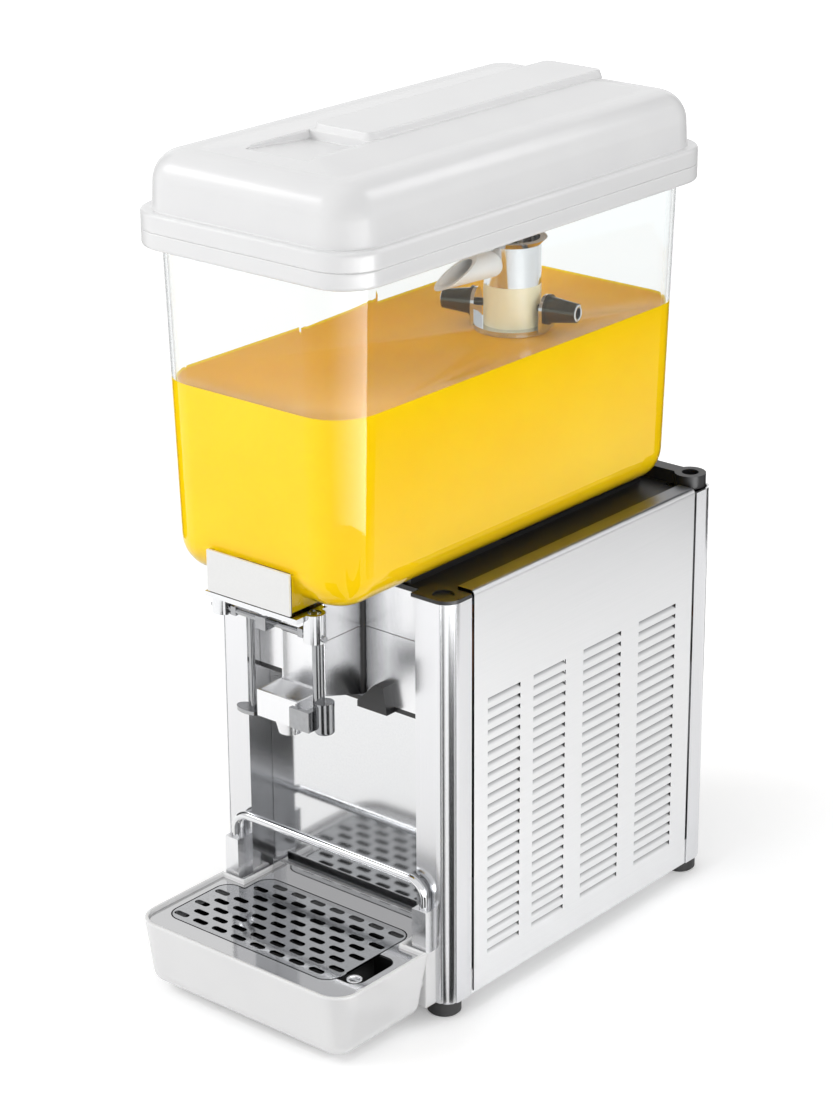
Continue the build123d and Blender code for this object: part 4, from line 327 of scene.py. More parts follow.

# %% [markdown]
# ## Brushed stainless steel
# Side and rear panels are brushed sheet: an abrasive belt has scratched it in one direction. The strokes run
# level, so the noise is stretched along X and Y and packed tightly along Z. The strokes spread a highlight
# across themselves, which the roughness and a shallow bump copy. Fresh from its film, the sheet is pale,
# almost white. The strips in the louvres of the side panels get painted shade that grows darker inward, most
# of all on the short walls at their ends, and the folded top edge gets a painted grey shade.

# %% Brushed stainless steel
STROKE_LENGTH = 90 * MM
STROKE_WIDTH = 0.7 * MM  # real strokes are about a tenth of this and wouldn't show
SHEET_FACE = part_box("side_panel_right")[1][0]
SLOT_LIP = 0.2 * MM  # below the face, where a strip starts to darken
SLOT_DEPTH = 2.4 * MM
SHEETS = (  # name, whether it has louvres, nodes
    ("brushed_stainless", False, ["rear_panel", "base_pan"]),
    ("brushed_louvred_stainless", True, ["side_panel_left", "side_panel_right"]),
)
for name, louvred, wearers in SHEETS:
    brushed, tree, place = new_finish(name)
    strokes = add_node(
        tree, "Mapping",
        {"Vector": place, "Scale": (1 / STROKE_LENGTH, 1 / STROKE_LENGTH, 1 / STROKE_WIDTH)},
    )
    stroke = add_node(tree, "TexNoise", {"Vector": strokes.outputs[0], "Scale": 1.0, "Detail": 3.0})
    tint = add_node(
        tree, "Mix", {0: stroke.outputs[0], 6: linear("#DFE0E1"), 7: linear("#E7E7E8")}, data_type="RGBA",
    )
    if louvred:
        where = add_node(tree, "SeparateXYZ", {0: place})
        outward = add_node(tree, "Math", {0: where.outputs["X"]}, operation="ABSOLUTE")
        slot_shade = add_node(
            tree, "MapRange",
            {0: outward.outputs[0], 1: SHEET_FACE - SLOT_LIP, 2: SHEET_FACE - SLOT_DEPTH, 3: 0.0, 4: 1.0},
        )
        facing = add_node(tree, "SeparateXYZ", {0: add_node(tree, "NewGeometry").outputs["Normal"]})
        end_wall = add_node(tree, "Math", {0: facing.outputs["Y"]}, operation="ABSOLUTE")
        end_shade = add_node(tree, "MapRange", {0: end_wall.outputs[0], 1: 0.6, 2: 0.9})
        fold_shade = add_node(tree, "MapRange", {0: facing.outputs["Z"], 1: 0.75, 2: 0.95})
        # painted shade: slots darken inward, end walls and the folded top edge darker still
        for share, shade in ((slot_shade, "#7C7D80"), (end_shade, "#3A3A3B"), (fold_shade, "#808184")):
            tint = add_node(
                tree, "Mix", {0: share.outputs[0], 6: tint.outputs[2], 7: linear(shade)}, data_type="RGBA",
            )
    gloss = add_node(tree, "MapRange", {0: stroke.outputs[0], 3: 0.28, 4: 0.38})
    bump = add_node(tree, "Bump", {"Height": stroke.outputs[0], "Strength": 0.04, "Distance": 0.05 * MM})
    skin = add_node(
        tree, "BsdfPrincipled",
        {
            "Base Color": tint.outputs[2], "Metallic": 1.0, "Roughness": gloss.outputs[0],
            "Normal": bump.outputs[0],
        },
    )
    add_node(tree, "OutputMaterial", {"Surface": skin.outputs[0]})
    wear(wearers, brushed)

# %% [markdown]
# ## Anodised aluminium
# The four corner posts are extruded and clear-anodised. The die leaves fine lines along the length, so this
# noise is stretched along Z. Anodising makes the metal a touch greyer and more even than the steel beside it.

# %% Anodised aluminium
DIE_LINE = 0.5 * MM  # drawn coarser than the real lines so that they show
DIE_RUN = 400 * MM
POSTS = [f"corner_post_{end}_{side}" for end in ("front", "rear") for side in ("left", "right")]
anodised, tree, place = new_finish("anodised_aluminium")
lines = add_node(tree, "Mapping", {"Vector": place, "Scale": (1 / DIE_LINE, 1 / DIE_LINE, 1 / DIE_RUN)})
line = add_node(tree, "TexNoise", {"Vector": lines.outputs[0], "Scale": 1.0, "Detail": 2.0})
tint = add_node(
    tree, "Mix", {0: line.outputs[0], 6: linear("#D4D5D7"), 7: linear("#DFDFE1")}, data_type="RGBA",
)
gloss = add_node(tree, "MapRange", {0: line.outputs[0], 3: 0.15, 4: 0.20})
bump = add_node(tree, "Bump", {"Height": line.outputs[0], "Strength": 0.02, "Distance": 0.05 * MM})
skin = add_node(
    tree, "BsdfPrincipled",
    {
        "Base Color": tint.outputs[2], "Metallic": 1.0, "Roughness": gloss.outputs[0],
        "Normal": bump.outputs[0],
    },
)
add_node(tree, "OutputMaterial", {"Surface": skin.outputs[0]})
wear(POSTS, anodised)

# %% [markdown]
# ## Polished stainless steel
# The splash panel, the bracket, the rail and the grid are polished until they mirror the room. No buffed
# sheet is perfectly flat: a weak, wide bump bends the reflections, and fine swirls from the mop change the
# gloss. The grid is greyer, a painted dark reflection. The small fittings further down use these steels
# again, so each is kept by its name.

# %% Polished stainless steel
SHEET_WAVE = 70 * MM
MOP_SWIRL = 1.5 * MM
MIRRORS = [
    "splash_panel", "cup_rail", "lever_bracket", "column_sleeve", "column_base", "evaporator",
    "valve_plunger", "panel_screws", "drain_pipe",
]
# the grid's greyer colours are a painted dark reflection
POLISHES = (  # name, two colours, nodes
    ("shaded_polished_stainless", "#A6A7A9", "#BFC0C2", ["drip_grid"]),
    ("polished_stainless", "#D2D3D5", "#DEDFE0", MIRRORS),
)
steels = {}
for name, dark, bright, wearers in POLISHES:
    polished, tree, place = new_finish(name)
    sheet_wave = add_node(tree, "TexNoise", {"Vector": place, "Scale": 1 / SHEET_WAVE, "Detail": 1.0})
    swirl = add_node(tree, "TexNoise", {"Vector": place, "Scale": 1 / MOP_SWIRL, "Detail": 3.0})
    gloss = add_node(tree, "MapRange", {0: swirl.outputs[0], 3: 0.05, 4: 0.13})
    wide_bump = add_node(
        tree, "Bump", {"Height": sheet_wave.outputs[0], "Strength": 0.15, "Distance": 0.4 * MM},
    )
    tint = add_node(tree, "Mix", {0: swirl.outputs[0], 6: linear(dark), 7: linear(bright)}, data_type="RGBA")
    skin = add_node(
        tree, "BsdfPrincipled",
        {
            "Base Color": tint.outputs[2], "Metallic": 1.0, "Roughness": gloss.outputs[0],
            "Normal": wide_bump.outputs[0],
        },
    )
    add_node(tree, "OutputMaterial", {"Surface": skin.outputs[0]})
    wear(wearers, polished)
    steels[name] = polished

# %% [markdown]
# ## Satin stainless steel
# The nose's shells, the pouring spout and the rail's uprights are the same steel, finished with a fine
# abrasive fleece instead of a mop. The fleece leaves short strokes that blur the reflections into soft
# gradients: bright where the metal faces the room and grey where it turns away. On the fascia beside the
# nose the colour is painted shade: dark in the corner by the nose, lighter towards the posts.

# %% Satin stainless steel
FLEECE_LENGTH = 25 * MM
FLEECE_WIDTH = 0.6 * MM  # the finest that shows; the real strokes are finer
NOSE_SIDE = 22 * MM  # half the nose's width
CORNER_SHADE_WIDTH = 26 * MM
FASCIA = -107 * MM  # the fascia's front face
SATINS = (  # name, whether it has painted shade by the nose, nodes
    ("shaded_fascia_satin_stainless", True, ["nose_upper", "nose_lower"]),
    ("satin_stainless", False, ["pouring_spout", "rail_uprights"]),
)
for name, shaded_corner, wearers in SATINS:
    satin, tree, place = new_finish(name)
    fleece = add_node(
        tree, "Mapping",
        {"Vector": place, "Scale": (1 / FLEECE_WIDTH, 1 / FLEECE_WIDTH, 1 / FLEECE_LENGTH)},
    )
    stroke = add_node(tree, "TexNoise", {"Vector": fleece.outputs[0], "Scale": 1.0, "Detail": 2.0})
    tint = add_node(
        tree, "Mix", {0: stroke.outputs[0], 6: linear("#DCDDDF"), 7: linear("#E7E7E8")}, data_type="RGBA",
    )
    if shaded_corner:
        where = add_node(tree, "SeparateXYZ", {0: place})
        on_fascia = add_node(
            tree, "MapRange", {0: where.outputs["Y"], 1: FASCIA - 2 * MM, 2: FASCIA - 0.5 * MM},
        )
        aside = add_node(tree, "Math", {0: where.outputs["X"]}, operation="ABSOLUTE")
        fade = add_node(
            tree, "MapRange", {0: aside.outputs[0], 1: NOSE_SIDE, 2: NOSE_SIDE + CORNER_SHADE_WIDTH, 3: 0.95, 4: 0.0},
        )
        corner_shade = add_node(tree, "Math", {0: fade.outputs[0], 1: on_fascia.outputs[0]}, operation="MULTIPLY")
        # painted shade on the fascia, darkest in the corner by the nose
        tint = add_node(
            tree, "Mix", {0: corner_shade.outputs[0], 6: tint.outputs[2], 7: linear("#4A4B4E")}, data_type="RGBA",
        )
    gloss = add_node(tree, "MapRange", {0: stroke.outputs[0], 3: 0.20, 4: 0.28})
    skin = add_node(
        tree, "BsdfPrincipled",
        {"Base Color": tint.outputs[2], "Metallic": 1.0, "Roughness": gloss.outputs[0]},
    )
    add_node(tree, "OutputMaterial", {"Surface": skin.outputs[0]})
    wear(wearers, satin)
    steels[name] = satin

# %% [markdown]
# ## The drip tray's liner
# The liner is polished sheet, pressed into a ledge and a well. Below the ledge the well is painted black as
# painted shade, so the grid's slots read black and a black line runs round the grid. The height above the
# floor tells the metal and the painted shade apart.

# %% Polished steel with a painted-shade well
WELL_SHADE_LINE = 59.0 * MM
WELL_SHADE_BLEND = 0.6 * MM
ORANGE_PEEL = 5 * MM
liner, tree, place = new_finish("well_shaded_steel_liner")
where = add_node(tree, "SeparateXYZ", {0: place})
unshaded_metal = add_node(tree, "MapRange", {0: where.outputs["Z"], 1: WELL_SHADE_LINE, 2: WELL_SHADE_LINE + WELL_SHADE_BLEND})
peel = add_node(tree, "TexNoise", {"Vector": place, "Scale": 1 / ORANGE_PEEL, "Detail": 1.0})
bump = add_node(tree, "Bump", {"Height": peel.outputs[0], "Strength": 0.05, "Distance": 0.2 * MM})
# painted shade: the well below the ledge is black
tint = add_node(
    tree, "Mix", {0: unshaded_metal.outputs[0], 6: linear("#0B0B0C"), 7: linear("#CACACB")}, data_type="RGBA",
)
gloss = add_node(tree, "MapRange", {0: unshaded_metal.outputs[0], 3: 0.40, 4: 0.08})
skin = add_node(
    tree, "BsdfPrincipled",
    {
        "Base Color": tint.outputs[2], "Metallic": unshaded_metal.outputs[0], "Roughness": gloss.outputs[0],
        "Normal": bump.outputs[0],
    },
)
add_node(tree, "OutputMaterial", {"Surface": skin.outputs[0]})
wear(["tray_liner"], liner)

# %% [markdown]
# ## Black ABS
# The deck under the bowl, the trim strip and the controls are black ABS with the fine spark-eroded grain that
# hides fingerprints: the same noise moves its colour, its gloss and a shallow bump.

# %% Black ABS
SPARK_GRAIN = 0.9 * MM  # coarser than the real grain, so that it shows
CONTROLS = ["switch_housings", "rocker_1", "rocker_2", "thermostat_knob", "thermostat", "cable_gland"]
black_abs, tree, place = new_finish("black_grained_abs")
spark = add_node(tree, "TexNoise", {"Vector": place, "Scale": 1 / SPARK_GRAIN, "Detail": 3.0})
tint = add_node(
    tree, "Mix", {0: spark.outputs[0], 6: linear("#121213"), 7: linear("#1F1F21")}, data_type="RGBA",
)
gloss = add_node(tree, "MapRange", {0: spark.outputs[0], 3: 0.32, 4: 0.48})
bump = add_node(tree, "Bump", {"Height": spark.outputs[0], "Strength": 0.15, "Distance": 0.1 * MM})
skin = add_node(
    tree, "BsdfPrincipled",
    {"Base Color": tint.outputs[2], "Roughness": gloss.outputs[0], "IOR": 1.54, "Normal": bump.outputs[0]},
)
add_node(tree, "OutputMaterial", {"Surface": skin.outputs[0]})
wear(["deck", "fascia_trim"] + CONTROLS, black_abs)

# %% [markdown]
# ## Black rubber
# The feet, gasket, seal and compressor mounts are moulded rubber, which is rougher than the ABS and bounces
# less light. A cloudy grey bloom comes to its surface with age.

# %% Black rubber
RUBBER_BLOOM = 12 * MM
rubber, tree, place = new_finish("black_rubber")
bloom = add_node(tree, "TexNoise", {"Vector": place, "Scale": 1 / RUBBER_BLOOM, "Detail": 4.0})
tint = add_node(
    tree, "Mix", {0: bloom.outputs[0], 6: linear("#161617"), 7: linear("#2A2A2B")}, data_type="RGBA",
)
bump = add_node(tree, "Bump", {"Height": bloom.outputs[0], "Strength": 0.1, "Distance": 0.2 * MM})
skin = add_node(
    tree, "BsdfPrincipled",
    {"Base Color": tint.outputs[2], "Roughness": 0.62, "IOR": 1.52, "Normal": bump.outputs[0]},
)
add_node(tree, "OutputMaterial", {"Surface": skin.outputs[0]})
wear(["feet", "bowl_gasket", "valve_seal", "compressor_mounts"], rubber)

# %% [markdown]
# ## Dark glass-filled nylon
# The motors' housings, the fan and its shroud are moulded in dark grey glass-filled nylon. The fibres make
# the surface half glossy, half matt.

# %% Dark nylon
FIBRE = 1.0 * MM
nylon, tree, place = new_finish("dark_glass_filled_nylon")
fibre = add_node(tree, "TexNoise", {"Vector": place, "Scale": 1 / FIBRE, "Detail": 3.0})
tint = add_node(
    tree, "Mix", {0: fibre.outputs[0], 6: linear("#3A3937"), 7: linear("#5A5854")}, data_type="RGBA",
)
gloss = add_node(tree, "MapRange", {0: fibre.outputs[0], 3: 0.25, 4: 0.40})
skin = add_node(
    tree, "BsdfPrincipled", {"Base Color": tint.outputs[2], "Roughness": gloss.outputs[0], "IOR": 1.53},
)
add_node(tree, "OutputMaterial", {"Surface": skin.outputs[0]})
wear(["pump_motor", "fan_motor", "fan_shroud", "fan"], nylon)

# %% [markdown]
# ## Mottled finishes
# With the bowl lifted or a panel off, the cooling parts show: a black-enamelled compressor, aluminium fins,
# copper pipes and a sintered magnet. The tap's lever is an investment casting, a darker steel than the sheets
# around it, and the spray nozzles are plated with black nickel. Their surfaces have no direction, so one
# recipe with an even mottle serves them all.

# %% Mottled finishes
MOTTLED = (  # name, two colours, metallic, roughness, size of the mottle, nodes
    ("black_enamelled_steel", "#151617", "#26282A", 0.0, 0.22, 8 * MM, ["compressor"]),
    ("bare_aluminium_fins", "#B9BCBF", "#D3D5D7", 1.0, 0.38, 3 * MM, ["condenser"]),
    ("drawn_copper", "#B5673C", "#D08B5B", 1.0, 0.30, 6 * MM, ["refrigerant_pipes"]),
    ("sintered_ferrite", "#2B2A2A", "#3A3836", 0.0, 0.55, 1 * MM, ["drive_magnet"]),
    ("cast_stainless", "#929395", "#A8A9AB", 1.0, 0.14, 4 * MM, ["tap_lever"]),
    ("black_nickel", "#4A4940", "#67665B", 1.0, 0.16, 5 * MM, ["spray_nozzles"]),
)
for name, dark, bright, metallic, roughness, size, wearers in MOTTLED:
    finish, tree, place = new_finish(name)
    mottle = add_node(tree, "TexNoise", {"Vector": place, "Scale": 1 / size, "Detail": 3.0})
    tint = add_node(tree, "Mix", {0: mottle.outputs[0], 6: linear(dark), 7: linear(bright)}, data_type="RGBA")
    bump = add_node(tree, "Bump", {"Height": mottle.outputs[0], "Strength": 0.1, "Distance": 0.1 * MM})
    skin = add_node(
        tree, "BsdfPrincipled",
        {
            "Base Color": tint.outputs[2], "Metallic": metallic, "Roughness": roughness,
            "Normal": bump.outputs[0],
        },
    )
    add_node(tree, "OutputMaterial", {"Surface": skin.outputs[0]})
    wear(wearers, finish)

# %% [markdown]
# ## Turned fittings
# Two small things are finer than the CAD model but catch the eye: a bright ring in the mouth of each spray
# nozzle and a strainer cap on the drain's stand pipe. Both are turned on a lathe, so one function spins a
# profile round an axis; the profile runs anticlockwise, as (radius, height). The rings find their places
# from the tips of the cones, and the cap from the top of the pipe. A small bar across the cap is its grip.


# %% Helpers for pieces
def new_piece(name, corners, faces, finish, body):
    """A smooth mesh piece with a finish, riding on a body."""
    mesh = bpy.data.meshes.new(name)
    mesh.from_pydata(corners, [], faces)
    mesh.polygons.foreach_set("use_smooth", [True] * len(mesh.polygons))
    mesh.set_sharp_from_angle(angle=SHARP_EDGE)
    mesh.materials.append(finish)
    piece = bpy.data.objects.new(name, mesh)
    bpy.context.scene.collection.objects.link(piece)
    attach(piece, body)
    print(name, len(mesh.polygons), "faces")


def spin(profile, foot, axis, steps=48):
    """Corners and faces of a profile in millimetres, spun round an axis that starts at foot."""
    side = axis.orthogonal().normalized()
    other = axis.cross(side)
    corners = []
    faces = []
    size = len(profile)
    for step in range(steps):
        turn = 2 * math.pi * step / steps
        out = side * math.cos(turn) + other * math.sin(turn)
        corners += [foot + (out * radius + axis * height) * MM for radius, height in profile]
        here, there = step * size, (step + 1) % steps * size
        faces += [(here + i, there + i, there + (i + 1) % size, here + (i + 1) % size) for i in range(size)]
    return corners, faces


# %% Nozzle rings
NOZZLE_RING = (
    (6.8, 0.0), (6.8, 0.5), (6.3, 0.9), (5.0, 0.9), (4.4, 0.5), (4.4, -3.0), (4.9, -3.0), (4.9, 0.0),
)
NOZZLE_HEADINGS = (12, 202)  # degrees round from +X, as the cones point
TIP_DEPTH = 0.05 * MM  # corners this near to the foremost one belong to a cone's mouth
steel = steels["polished_stainless"]
cone_corners = [corner.co for corner in nodes["spray_nozzles"].data.vertices]
for number, heading in enumerate(NOZZLE_HEADINGS, 1):
    turn = math.radians(heading)
    axis = Vector((math.cos(turn), math.sin(turn), 0.0))
    reach = max(corner.dot(axis) for corner in cone_corners)
    tip = [corner for corner in cone_corners if corner.dot(axis) > reach - TIP_DEPTH]
    mouth = sum(tip, Vector()) / len(tip)
    corners, faces = spin(NOZZLE_RING, mouth, axis)
    new_piece(f"nozzle_ring_{number}", corners, faces, steel, "bowl_assembly")

# %% Drain cap
CAP = ((6.6, -4.0), (6.6, 5.2), (6.0, 6.0), (4.6, 6.0), (4.0, 5.2), (4.0, 0.4), (5.7, 0.4), (5.7, -4.0))
BAR_LENGTH, BAR_WIDTH = 4.3, 1.0  # half sizes of the cap's grip, in mm
BAR_LOW, BAR_HIGH = 3.4, 5.4
BOX_FACES = ((0, 3, 2, 1), (4, 5, 6, 7), (0, 1, 5, 4), (1, 2, 6, 5), (2, 3, 7, 6), (3, 0, 4, 7))
pipe_low, pipe_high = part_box("drain_pipe")
pipe_top = Vector(((pipe_low[0] + pipe_high[0]) / 2, (pipe_low[1] + pipe_high[1]) / 2, pipe_high[2]))
corners, faces = spin(CAP, pipe_top, Vector((0.0, 0.0, 1.0)))
bar_start = len(corners)
for height in (BAR_LOW, BAR_HIGH):
    for along, across in ((-1, -1), (1, -1), (1, 1), (-1, 1)):
        corners.append(pipe_top + Vector((along * BAR_LENGTH, across * BAR_WIDTH, height)) * MM)
faces += [tuple(bar_start + i for i in bar_face) for bar_face in BOX_FACES]
new_piece("drain_cap", corners, faces, steels["satin_stainless"], "tray_body")

# %% [markdown]
# ## Dark beads in the corners
# A black bead fills each corner between nose and fascia: painted shade, put where the corner lies in shadow.
# It is a quarter round that climbs the corner in small steps, and two sine waves of different length make its
# radius swell and shrink.

# %% Dark corner beads
BEAD = 2.6 * MM  # mean radius
BEAD_WOBBLE = 0.25 * MM
WOBBLE_FAST, WOBBLE_SLOW = 1.9, 0.7  # radians for each step up
BEAD_STEPS = 40
ROUND_STEPS = 6
BEAD_LOW, BEAD_HIGH = 250 * MM, 343 * MM
row = ROUND_STEPS + 1
# each dark bead is painted shade in the corner between nose and fascia
for side, hand in (("left", -1), ("right", 1)):
    corners = []
    for step in range(BEAD_STEPS + 1):
        height = BEAD_LOW + (BEAD_HIGH - BEAD_LOW) * step / BEAD_STEPS
        radius = BEAD + BEAD_WOBBLE * math.sin(WOBBLE_FAST * step) * math.sin(WOBBLE_SLOW * step)
        for part in range(row):
            turn = math.pi / 2 * part / ROUND_STEPS
            across = hand * (NOSE_SIDE + radius * math.cos(turn))
            corners.append((across, FASCIA - radius * math.sin(turn), height))
    faces = []
    for step in range(BEAD_STEPS):
        for part in range(ROUND_STEPS):
            low = step * row + part
            ring = (low, low + row, low + row + 1, low + 1)
            faces.append(ring if hand > 0 else ring[::-1])
    new_piece(f"shade_bead_{side}", corners, faces, rubber, "cabinet")

# %% [markdown]
# ## The studio
# The machine stands on a plain pale floor under soft light. The room is white to the camera, to mirrors and
# to the clear bowl, and dimmer as a light source, so that the lamps can shape the forms. The floor is nearly
# white and keeps the shadow: a little glow, which lights nothing, makes it white to the eye further away, and
# less so close to the machine.


# %% White room
def seen_by_eye(tree):
    """A socket that is 1 for rays from the camera, off shiny surfaces and through the bowl."""
    ray = add_node(tree, "LightPath")
    seen = ray.outputs["Is Camera Ray"]
    for kind in ("Is Glossy Ray", "Is Transmission Ray"):
        seen = add_node(tree, "Math", {0: seen, 1: ray.outputs[kind]}, operation="MAXIMUM").outputs[0]
    return seen


ROOM_LIGHT = 0.50
scene = bpy.context.scene
scene.view_settings.view_transform = "Standard"
world = bpy.data.worlds.new("white_room")
scene.world = world
world.use_nodes = True
tree = world.node_tree
tree.nodes.clear()
brightness = add_node(tree, "MapRange", {0: seen_by_eye(tree), 3: ROOM_LIGHT, 4: 1.0})
room = add_node(tree, "Background", {"Color": linear("#FFFFFF"), "Strength": brightness.outputs[0]})
add_node(tree, "OutputWorld", {"Surface": room.outputs[0]})
print("room light", ROOM_LIGHT)


# %% Floor
def new_sheet(name, corners, faces, finish):
    """A sheet of the studio with a finish."""
    mesh = bpy.data.meshes.new(name)
    mesh.from_pydata(corners, [], faces)
    mesh.materials.append(finish)
    sheet = bpy.data.objects.new(name, mesh)
    scene.collection.objects.link(sheet)
    return sheet


FLOOR_SIZE = 14.0
FOOTPRINT = (1.9, 1.0, 1.0)  # the machine is narrow, so distances across it count for more
SHADE_NEAR, SHADE_FAR = 0.22, 0.48  # where the shade round the footprint is deepest and where it ends
SHADE = -0.16
GLOW_NEAR, GLOW_FAR = 0.4, 3.0
NEAR_GLOW, FAR_GLOW = 0.37, 0.75
paper, tree, place = new_finish("white_floor")
footprint = add_node(tree, "Mapping", {"Vector": place, "Scale": FOOTPRINT})
around = add_node(tree, "VectorMath", {0: footprint.outputs[0]}, operation="LENGTH")
dim = add_node(tree, "MapRange", {0: around.outputs["Value"], 1: SHADE_NEAR, 2: SHADE_FAR, 3: SHADE, 4: 0.0})
away = add_node(tree, "VectorMath", {0: place}, operation="LENGTH")
white = add_node(
    tree, "MapRange", {0: away.outputs["Value"], 1: GLOW_NEAR, 2: GLOW_FAR, 3: NEAR_GLOW, 4: FAR_GLOW},
)
glow = add_node(tree, "Math", {0: dim.outputs[0], 1: white.outputs[0]}, operation="ADD")
lift = add_node(tree, "Math", {0: seen_by_eye(tree), 1: glow.outputs[0]}, operation="MULTIPLY")
skin = add_node(
    tree, "BsdfPrincipled",
    {
        "Base Color": linear("#F6F6F6"), "Roughness": 0.9, "Specular IOR Level": 0.0,
        "Emission Color": linear("#FFFFFF"), "Emission Strength": lift.outputs[0],
    },
)
add_node(tree, "OutputMaterial", {"Surface": skin.outputs[0]})
half_floor = FLOOR_SIZE / 2
floor_corners = [(x * half_floor, y * half_floor, 0) for x, y in ((-1, -1), (1, -1), (1, 1), (-1, 1))]
floor = new_sheet("floor", floor_corners, [(0, 1, 2, 3)], paper)
print("floor", FLOOR_SIZE, "m wide")

# %% [markdown]
# ## Lamps
# One large soft lamp hangs high on the left, weaker ones fill from the right and from above. Two small ones,
# behind and high on the left, draw bright lines along the rims of lid and tray. The large ones are hidden
# from shiny surfaces, which would show them as hard white squares.


# %% Lamps
def hide_from(thing, rays):
    """Hides an object from kinds of rays."""
    for kind in rays:
        setattr(thing, f"visible_{kind}", False)


SOFT = ("camera", "glossy")
OPEN = ("camera",)
LAMPS = (  # name, place, aim, width, power in watts, rays that don't see it
    ("key", (-1.4, -1.8, 1.5), (0.0, 0.0, 0.34), 1.4, 20.0, SOFT),
    ("fill", (1.9, -0.7, 0.9), (0.0, 0.0, 0.34), 1.2, 10.0, SOFT),
    ("edge", (0.58, 1.14, 1.61), (0.0, 0.0, 0.65), 0.6, 3.5, OPEN),
    ("top", (-0.2, 0.1, 2.4), (0.0, 0.0, 0.6), 1.0, 3.0, SOFT),
    ("rim", (-1.2, -0.95, 1.55), (0.0, -0.1, 0.3), 0.5, 4.0, OPEN),
)
for name, position, aim, width, power, blind in LAMPS:
    lamp = bpy.data.lights.new(name, "AREA")
    lamp.shape = "SQUARE"
    lamp.size = width
    lamp.energy = power
    stand = bpy.data.objects.new(name, lamp)
    stand.location = position
    stand.rotation_euler = (Vector(aim) - Vector(position)).to_track_quat("-Z", "Y").to_euler()
    hide_from(stand, blind)
    scene.collection.objects.link(stand)
    print(name, power, "W")

# %% [markdown]
# ## A curved light strip
# A low curved strip, which only shiny surfaces see, puts the broad highlight on the bowl's rounded corner.
# Separate panels would leave bands there, so it is one sheet, bent round that corner, and it grows brighter
# towards the right.

# %% Curved light strip
STRIP_CENTRE = Vector((0.09, -0.19, 0.0))  # the bowl's front right corner
STRIP_RADIUS = 0.9
STRIP_LOW, STRIP_HIGH = 0.02, 0.42
STRIP_STEPS = 32
STRIP_FROM, STRIP_TO = 15, 112  # compass angles, from the front round to the right
STRIP_DIM, STRIP_BRIGHT = 1.0, 13.0
MIRRORED_ONLY = ("camera", "diffuse", "transmission", "volume_scatter", "shadow")  # rays that don't see it
strip_corners = []
for step in range(STRIP_STEPS + 1):
    turn = math.radians(STRIP_FROM + (STRIP_TO - STRIP_FROM) * step / STRIP_STEPS)
    foot = STRIP_CENTRE + Vector((math.sin(turn), -math.cos(turn), 0.0)) * STRIP_RADIUS
    strip_corners += [foot + Vector((0.0, 0.0, STRIP_LOW)), foot + Vector((0.0, 0.0, STRIP_HIGH))]
strip_faces = [(2 * i, 2 * i + 2, 2 * i + 3, 2 * i + 1) for i in range(STRIP_STEPS)]
front_end, rear_end = strip_corners[0].y, strip_corners[-1].y
diffuser, tree, place = new_finish("white_diffuser")
where = add_node(tree, "SeparateXYZ", {0: place})
glow = add_node(
    tree, "MapRange", {0: where.outputs["Y"], 1: front_end, 2: rear_end, 3: STRIP_DIM, 4: STRIP_BRIGHT},
)
shine = add_node(tree, "Emission", {"Color": linear("#FFFFFF"), "Strength": glow.outputs[0]})
add_node(tree, "OutputMaterial", {"Surface": shine.outputs[0]})
strip = new_sheet("light_strip", strip_corners, strip_faces, diffuser)
hide_from(strip, MIRRORED_ONLY)
print("light strip from", STRIP_FROM, "to", STRIP_TO, "degrees")

# %% [markdown]
# ## Black cards
# In an all-white room polished metal has nothing dark to mirror and the bowl's edges would be lost, so
# photographers put dark cards around them: here upright ones on the left and behind, one on the floor that
# fades in towards the right and keeps a white veil off the bowl, and two wedges on the floor that draw the
# dark lines down the posts. Only reflections show them.

# %% Card papers
FADE_FROM, FADE_TO = 0.68, 0.95  # along X
card_papers = {}
for name, faded in (("faded_card", True), ("black_card", False)):
    card_paper, tree, place = new_finish(name)
    skin = add_node(
        tree, "BsdfPrincipled",
        {"Base Color": linear("#2C2C2C"), "Roughness": 0.9, "Specular IOR Level": 0.0},
    )
    if faded:
        where = add_node(tree, "SeparateXYZ", {0: place})
        fade = add_node(tree, "MapRange", {0: where.outputs["X"], 1: FADE_FROM, 2: FADE_TO})
        clear = add_node(tree, "BsdfTransparent")
        skin = add_node(tree, "MixShader", {0: fade.outputs[0], 1: clear.outputs[0], 2: skin.outputs[0]})
    add_node(tree, "OutputMaterial", {"Surface": skin.outputs[0]})
    card_papers[name] = card_paper
print(len(card_papers), "card papers")

# %% Black cards
UPRIGHT_FEET = (((-0.75, -0.35), (-0.75, 0.08)), ((0.38, 0.70), (-0.06, 0.77)))  # on the left, behind
UPRIGHT_LOW, UPRIGHT_HIGH = 0.10, 1.20
FLOOR_CARD = ((0.60, 0.15), (2.40, 0.15), (2.40, 3.20), (0.60, 3.20))
CARD_HEIGHT = 0.5 * MM  # floor cards lie just above the floor
WEDGES = ((-6, 26), (52, 92))  # compass angles of a wedge's two edges, seen from the front right post
WEDGE_NEAR, WEDGE_FAR = 0.02, 0.85
post_low, post_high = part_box("corner_post_front_right")
cards = []
for (x0, y0), (x1, y1) in UPRIGHT_FEET:
    upright = [(x0, y0, UPRIGHT_LOW), (x1, y1, UPRIGHT_LOW), (x1, y1, UPRIGHT_HIGH), (x0, y0, UPRIGHT_HIGH)]
    cards.append((upright, "black_card"))
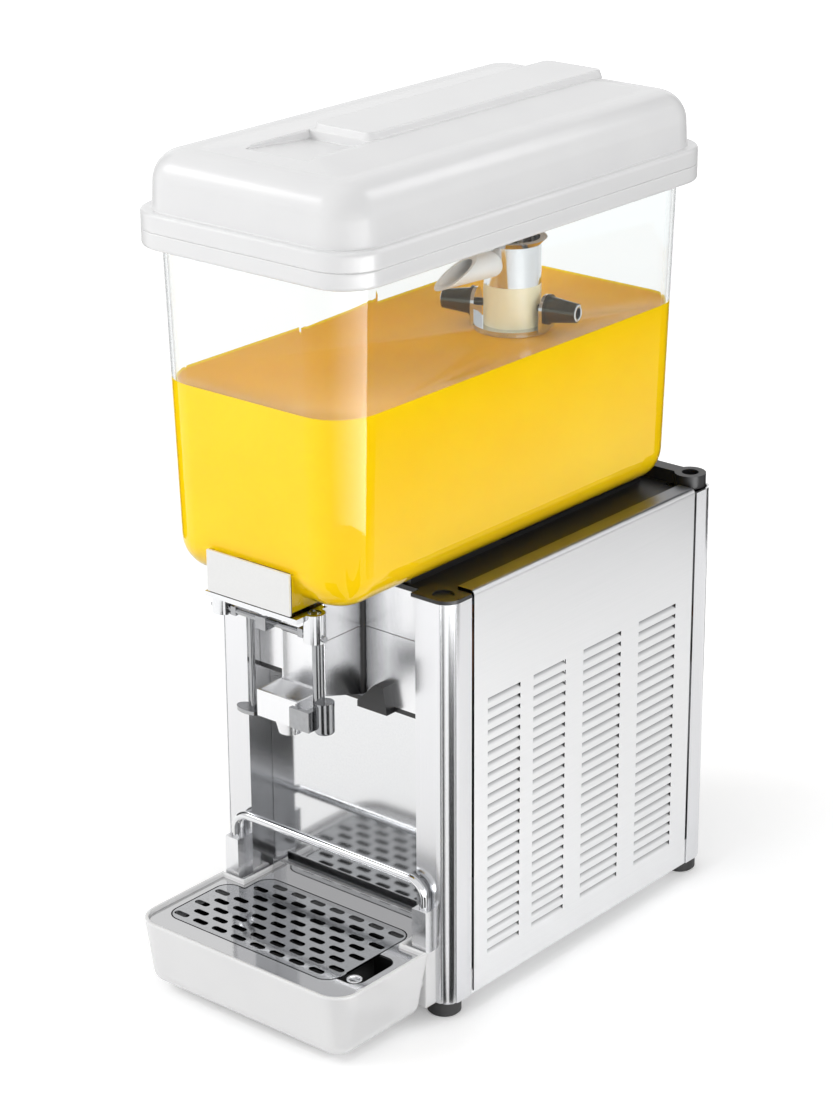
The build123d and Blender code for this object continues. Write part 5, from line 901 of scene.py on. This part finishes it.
cards.append(([(x, y, CARD_HEIGHT) for x, y in FLOOR_CARD], "faded_card"))
for start, end in WEDGES:
    wedge = []
    for angle, distance in ((start, WEDGE_NEAR), (start, WEDGE_FAR), (end, WEDGE_FAR), (end, WEDGE_NEAR)):
        turn = math.radians(angle)
        x = post_high[0] + distance * math.sin(turn)
        wedge.append((x, post_low[1] - distance * math.cos(turn), CARD_HEIGHT))
    cards.append((wedge, "black_card"))
for number, (corners, paper_name) in enumerate(cards, 1):
    card = new_sheet(f"card_{number}", corners, [(0, 1, 2, 3)], card_papers[paper_name])
    hide_from(card, MIRRORED_ONLY)
    print(card.name, [tuple(round(value, 2) for value in corner) for corner in corners])

# %% [markdown]
# ## Camera
# The camera stands where the picture was taken from: a long lens, about 40 degrees round to the right and 21
# degrees above. A small shift of the lens places the machine in the frame.

# %% Camera
AZIMUTH = math.radians(39.92)
ELEVATION = math.radians(21.28)
ROLL = math.radians(-0.27)
TARGET = Vector((-44.21, 50.5, 303.87)) * MM
DISTANCE = 2456.5 * MM
PICTURE_HEIGHT = 1096.0  # pixels
FOCAL_PIXELS = 3001.9
SHIFT_RIGHT, SHIFT_UP = -11.5, 2.0  # pixels
SENSOR = 36.0
back = Vector(
    (
        math.sin(AZIMUTH) * math.cos(ELEVATION),
        -math.cos(AZIMUTH) * math.cos(ELEVATION),
        math.sin(ELEVATION),
    )
)
lens = bpy.data.cameras.new("portrait_lens")
lens.sensor_fit = "VERTICAL"
lens.sensor_height = SENSOR
lens.lens = FOCAL_PIXELS * SENSOR / PICTURE_HEIGHT
lens.shift_x = SHIFT_RIGHT / PICTURE_HEIGHT
lens.shift_y = SHIFT_UP / PICTURE_HEIGHT
camera = bpy.data.objects.new("camera", lens)
camera.matrix_world = (
    Matrix.Translation(TARGET + back * DISTANCE)
    @ back.to_track_quat("Z", "Y").to_matrix().to_4x4()
    @ Matrix.Rotation(ROLL, 4, "Z")
)
scene.collection.objects.link(camera)
scene.camera = camera
print("lens", round(lens.lens, 1), "mm")
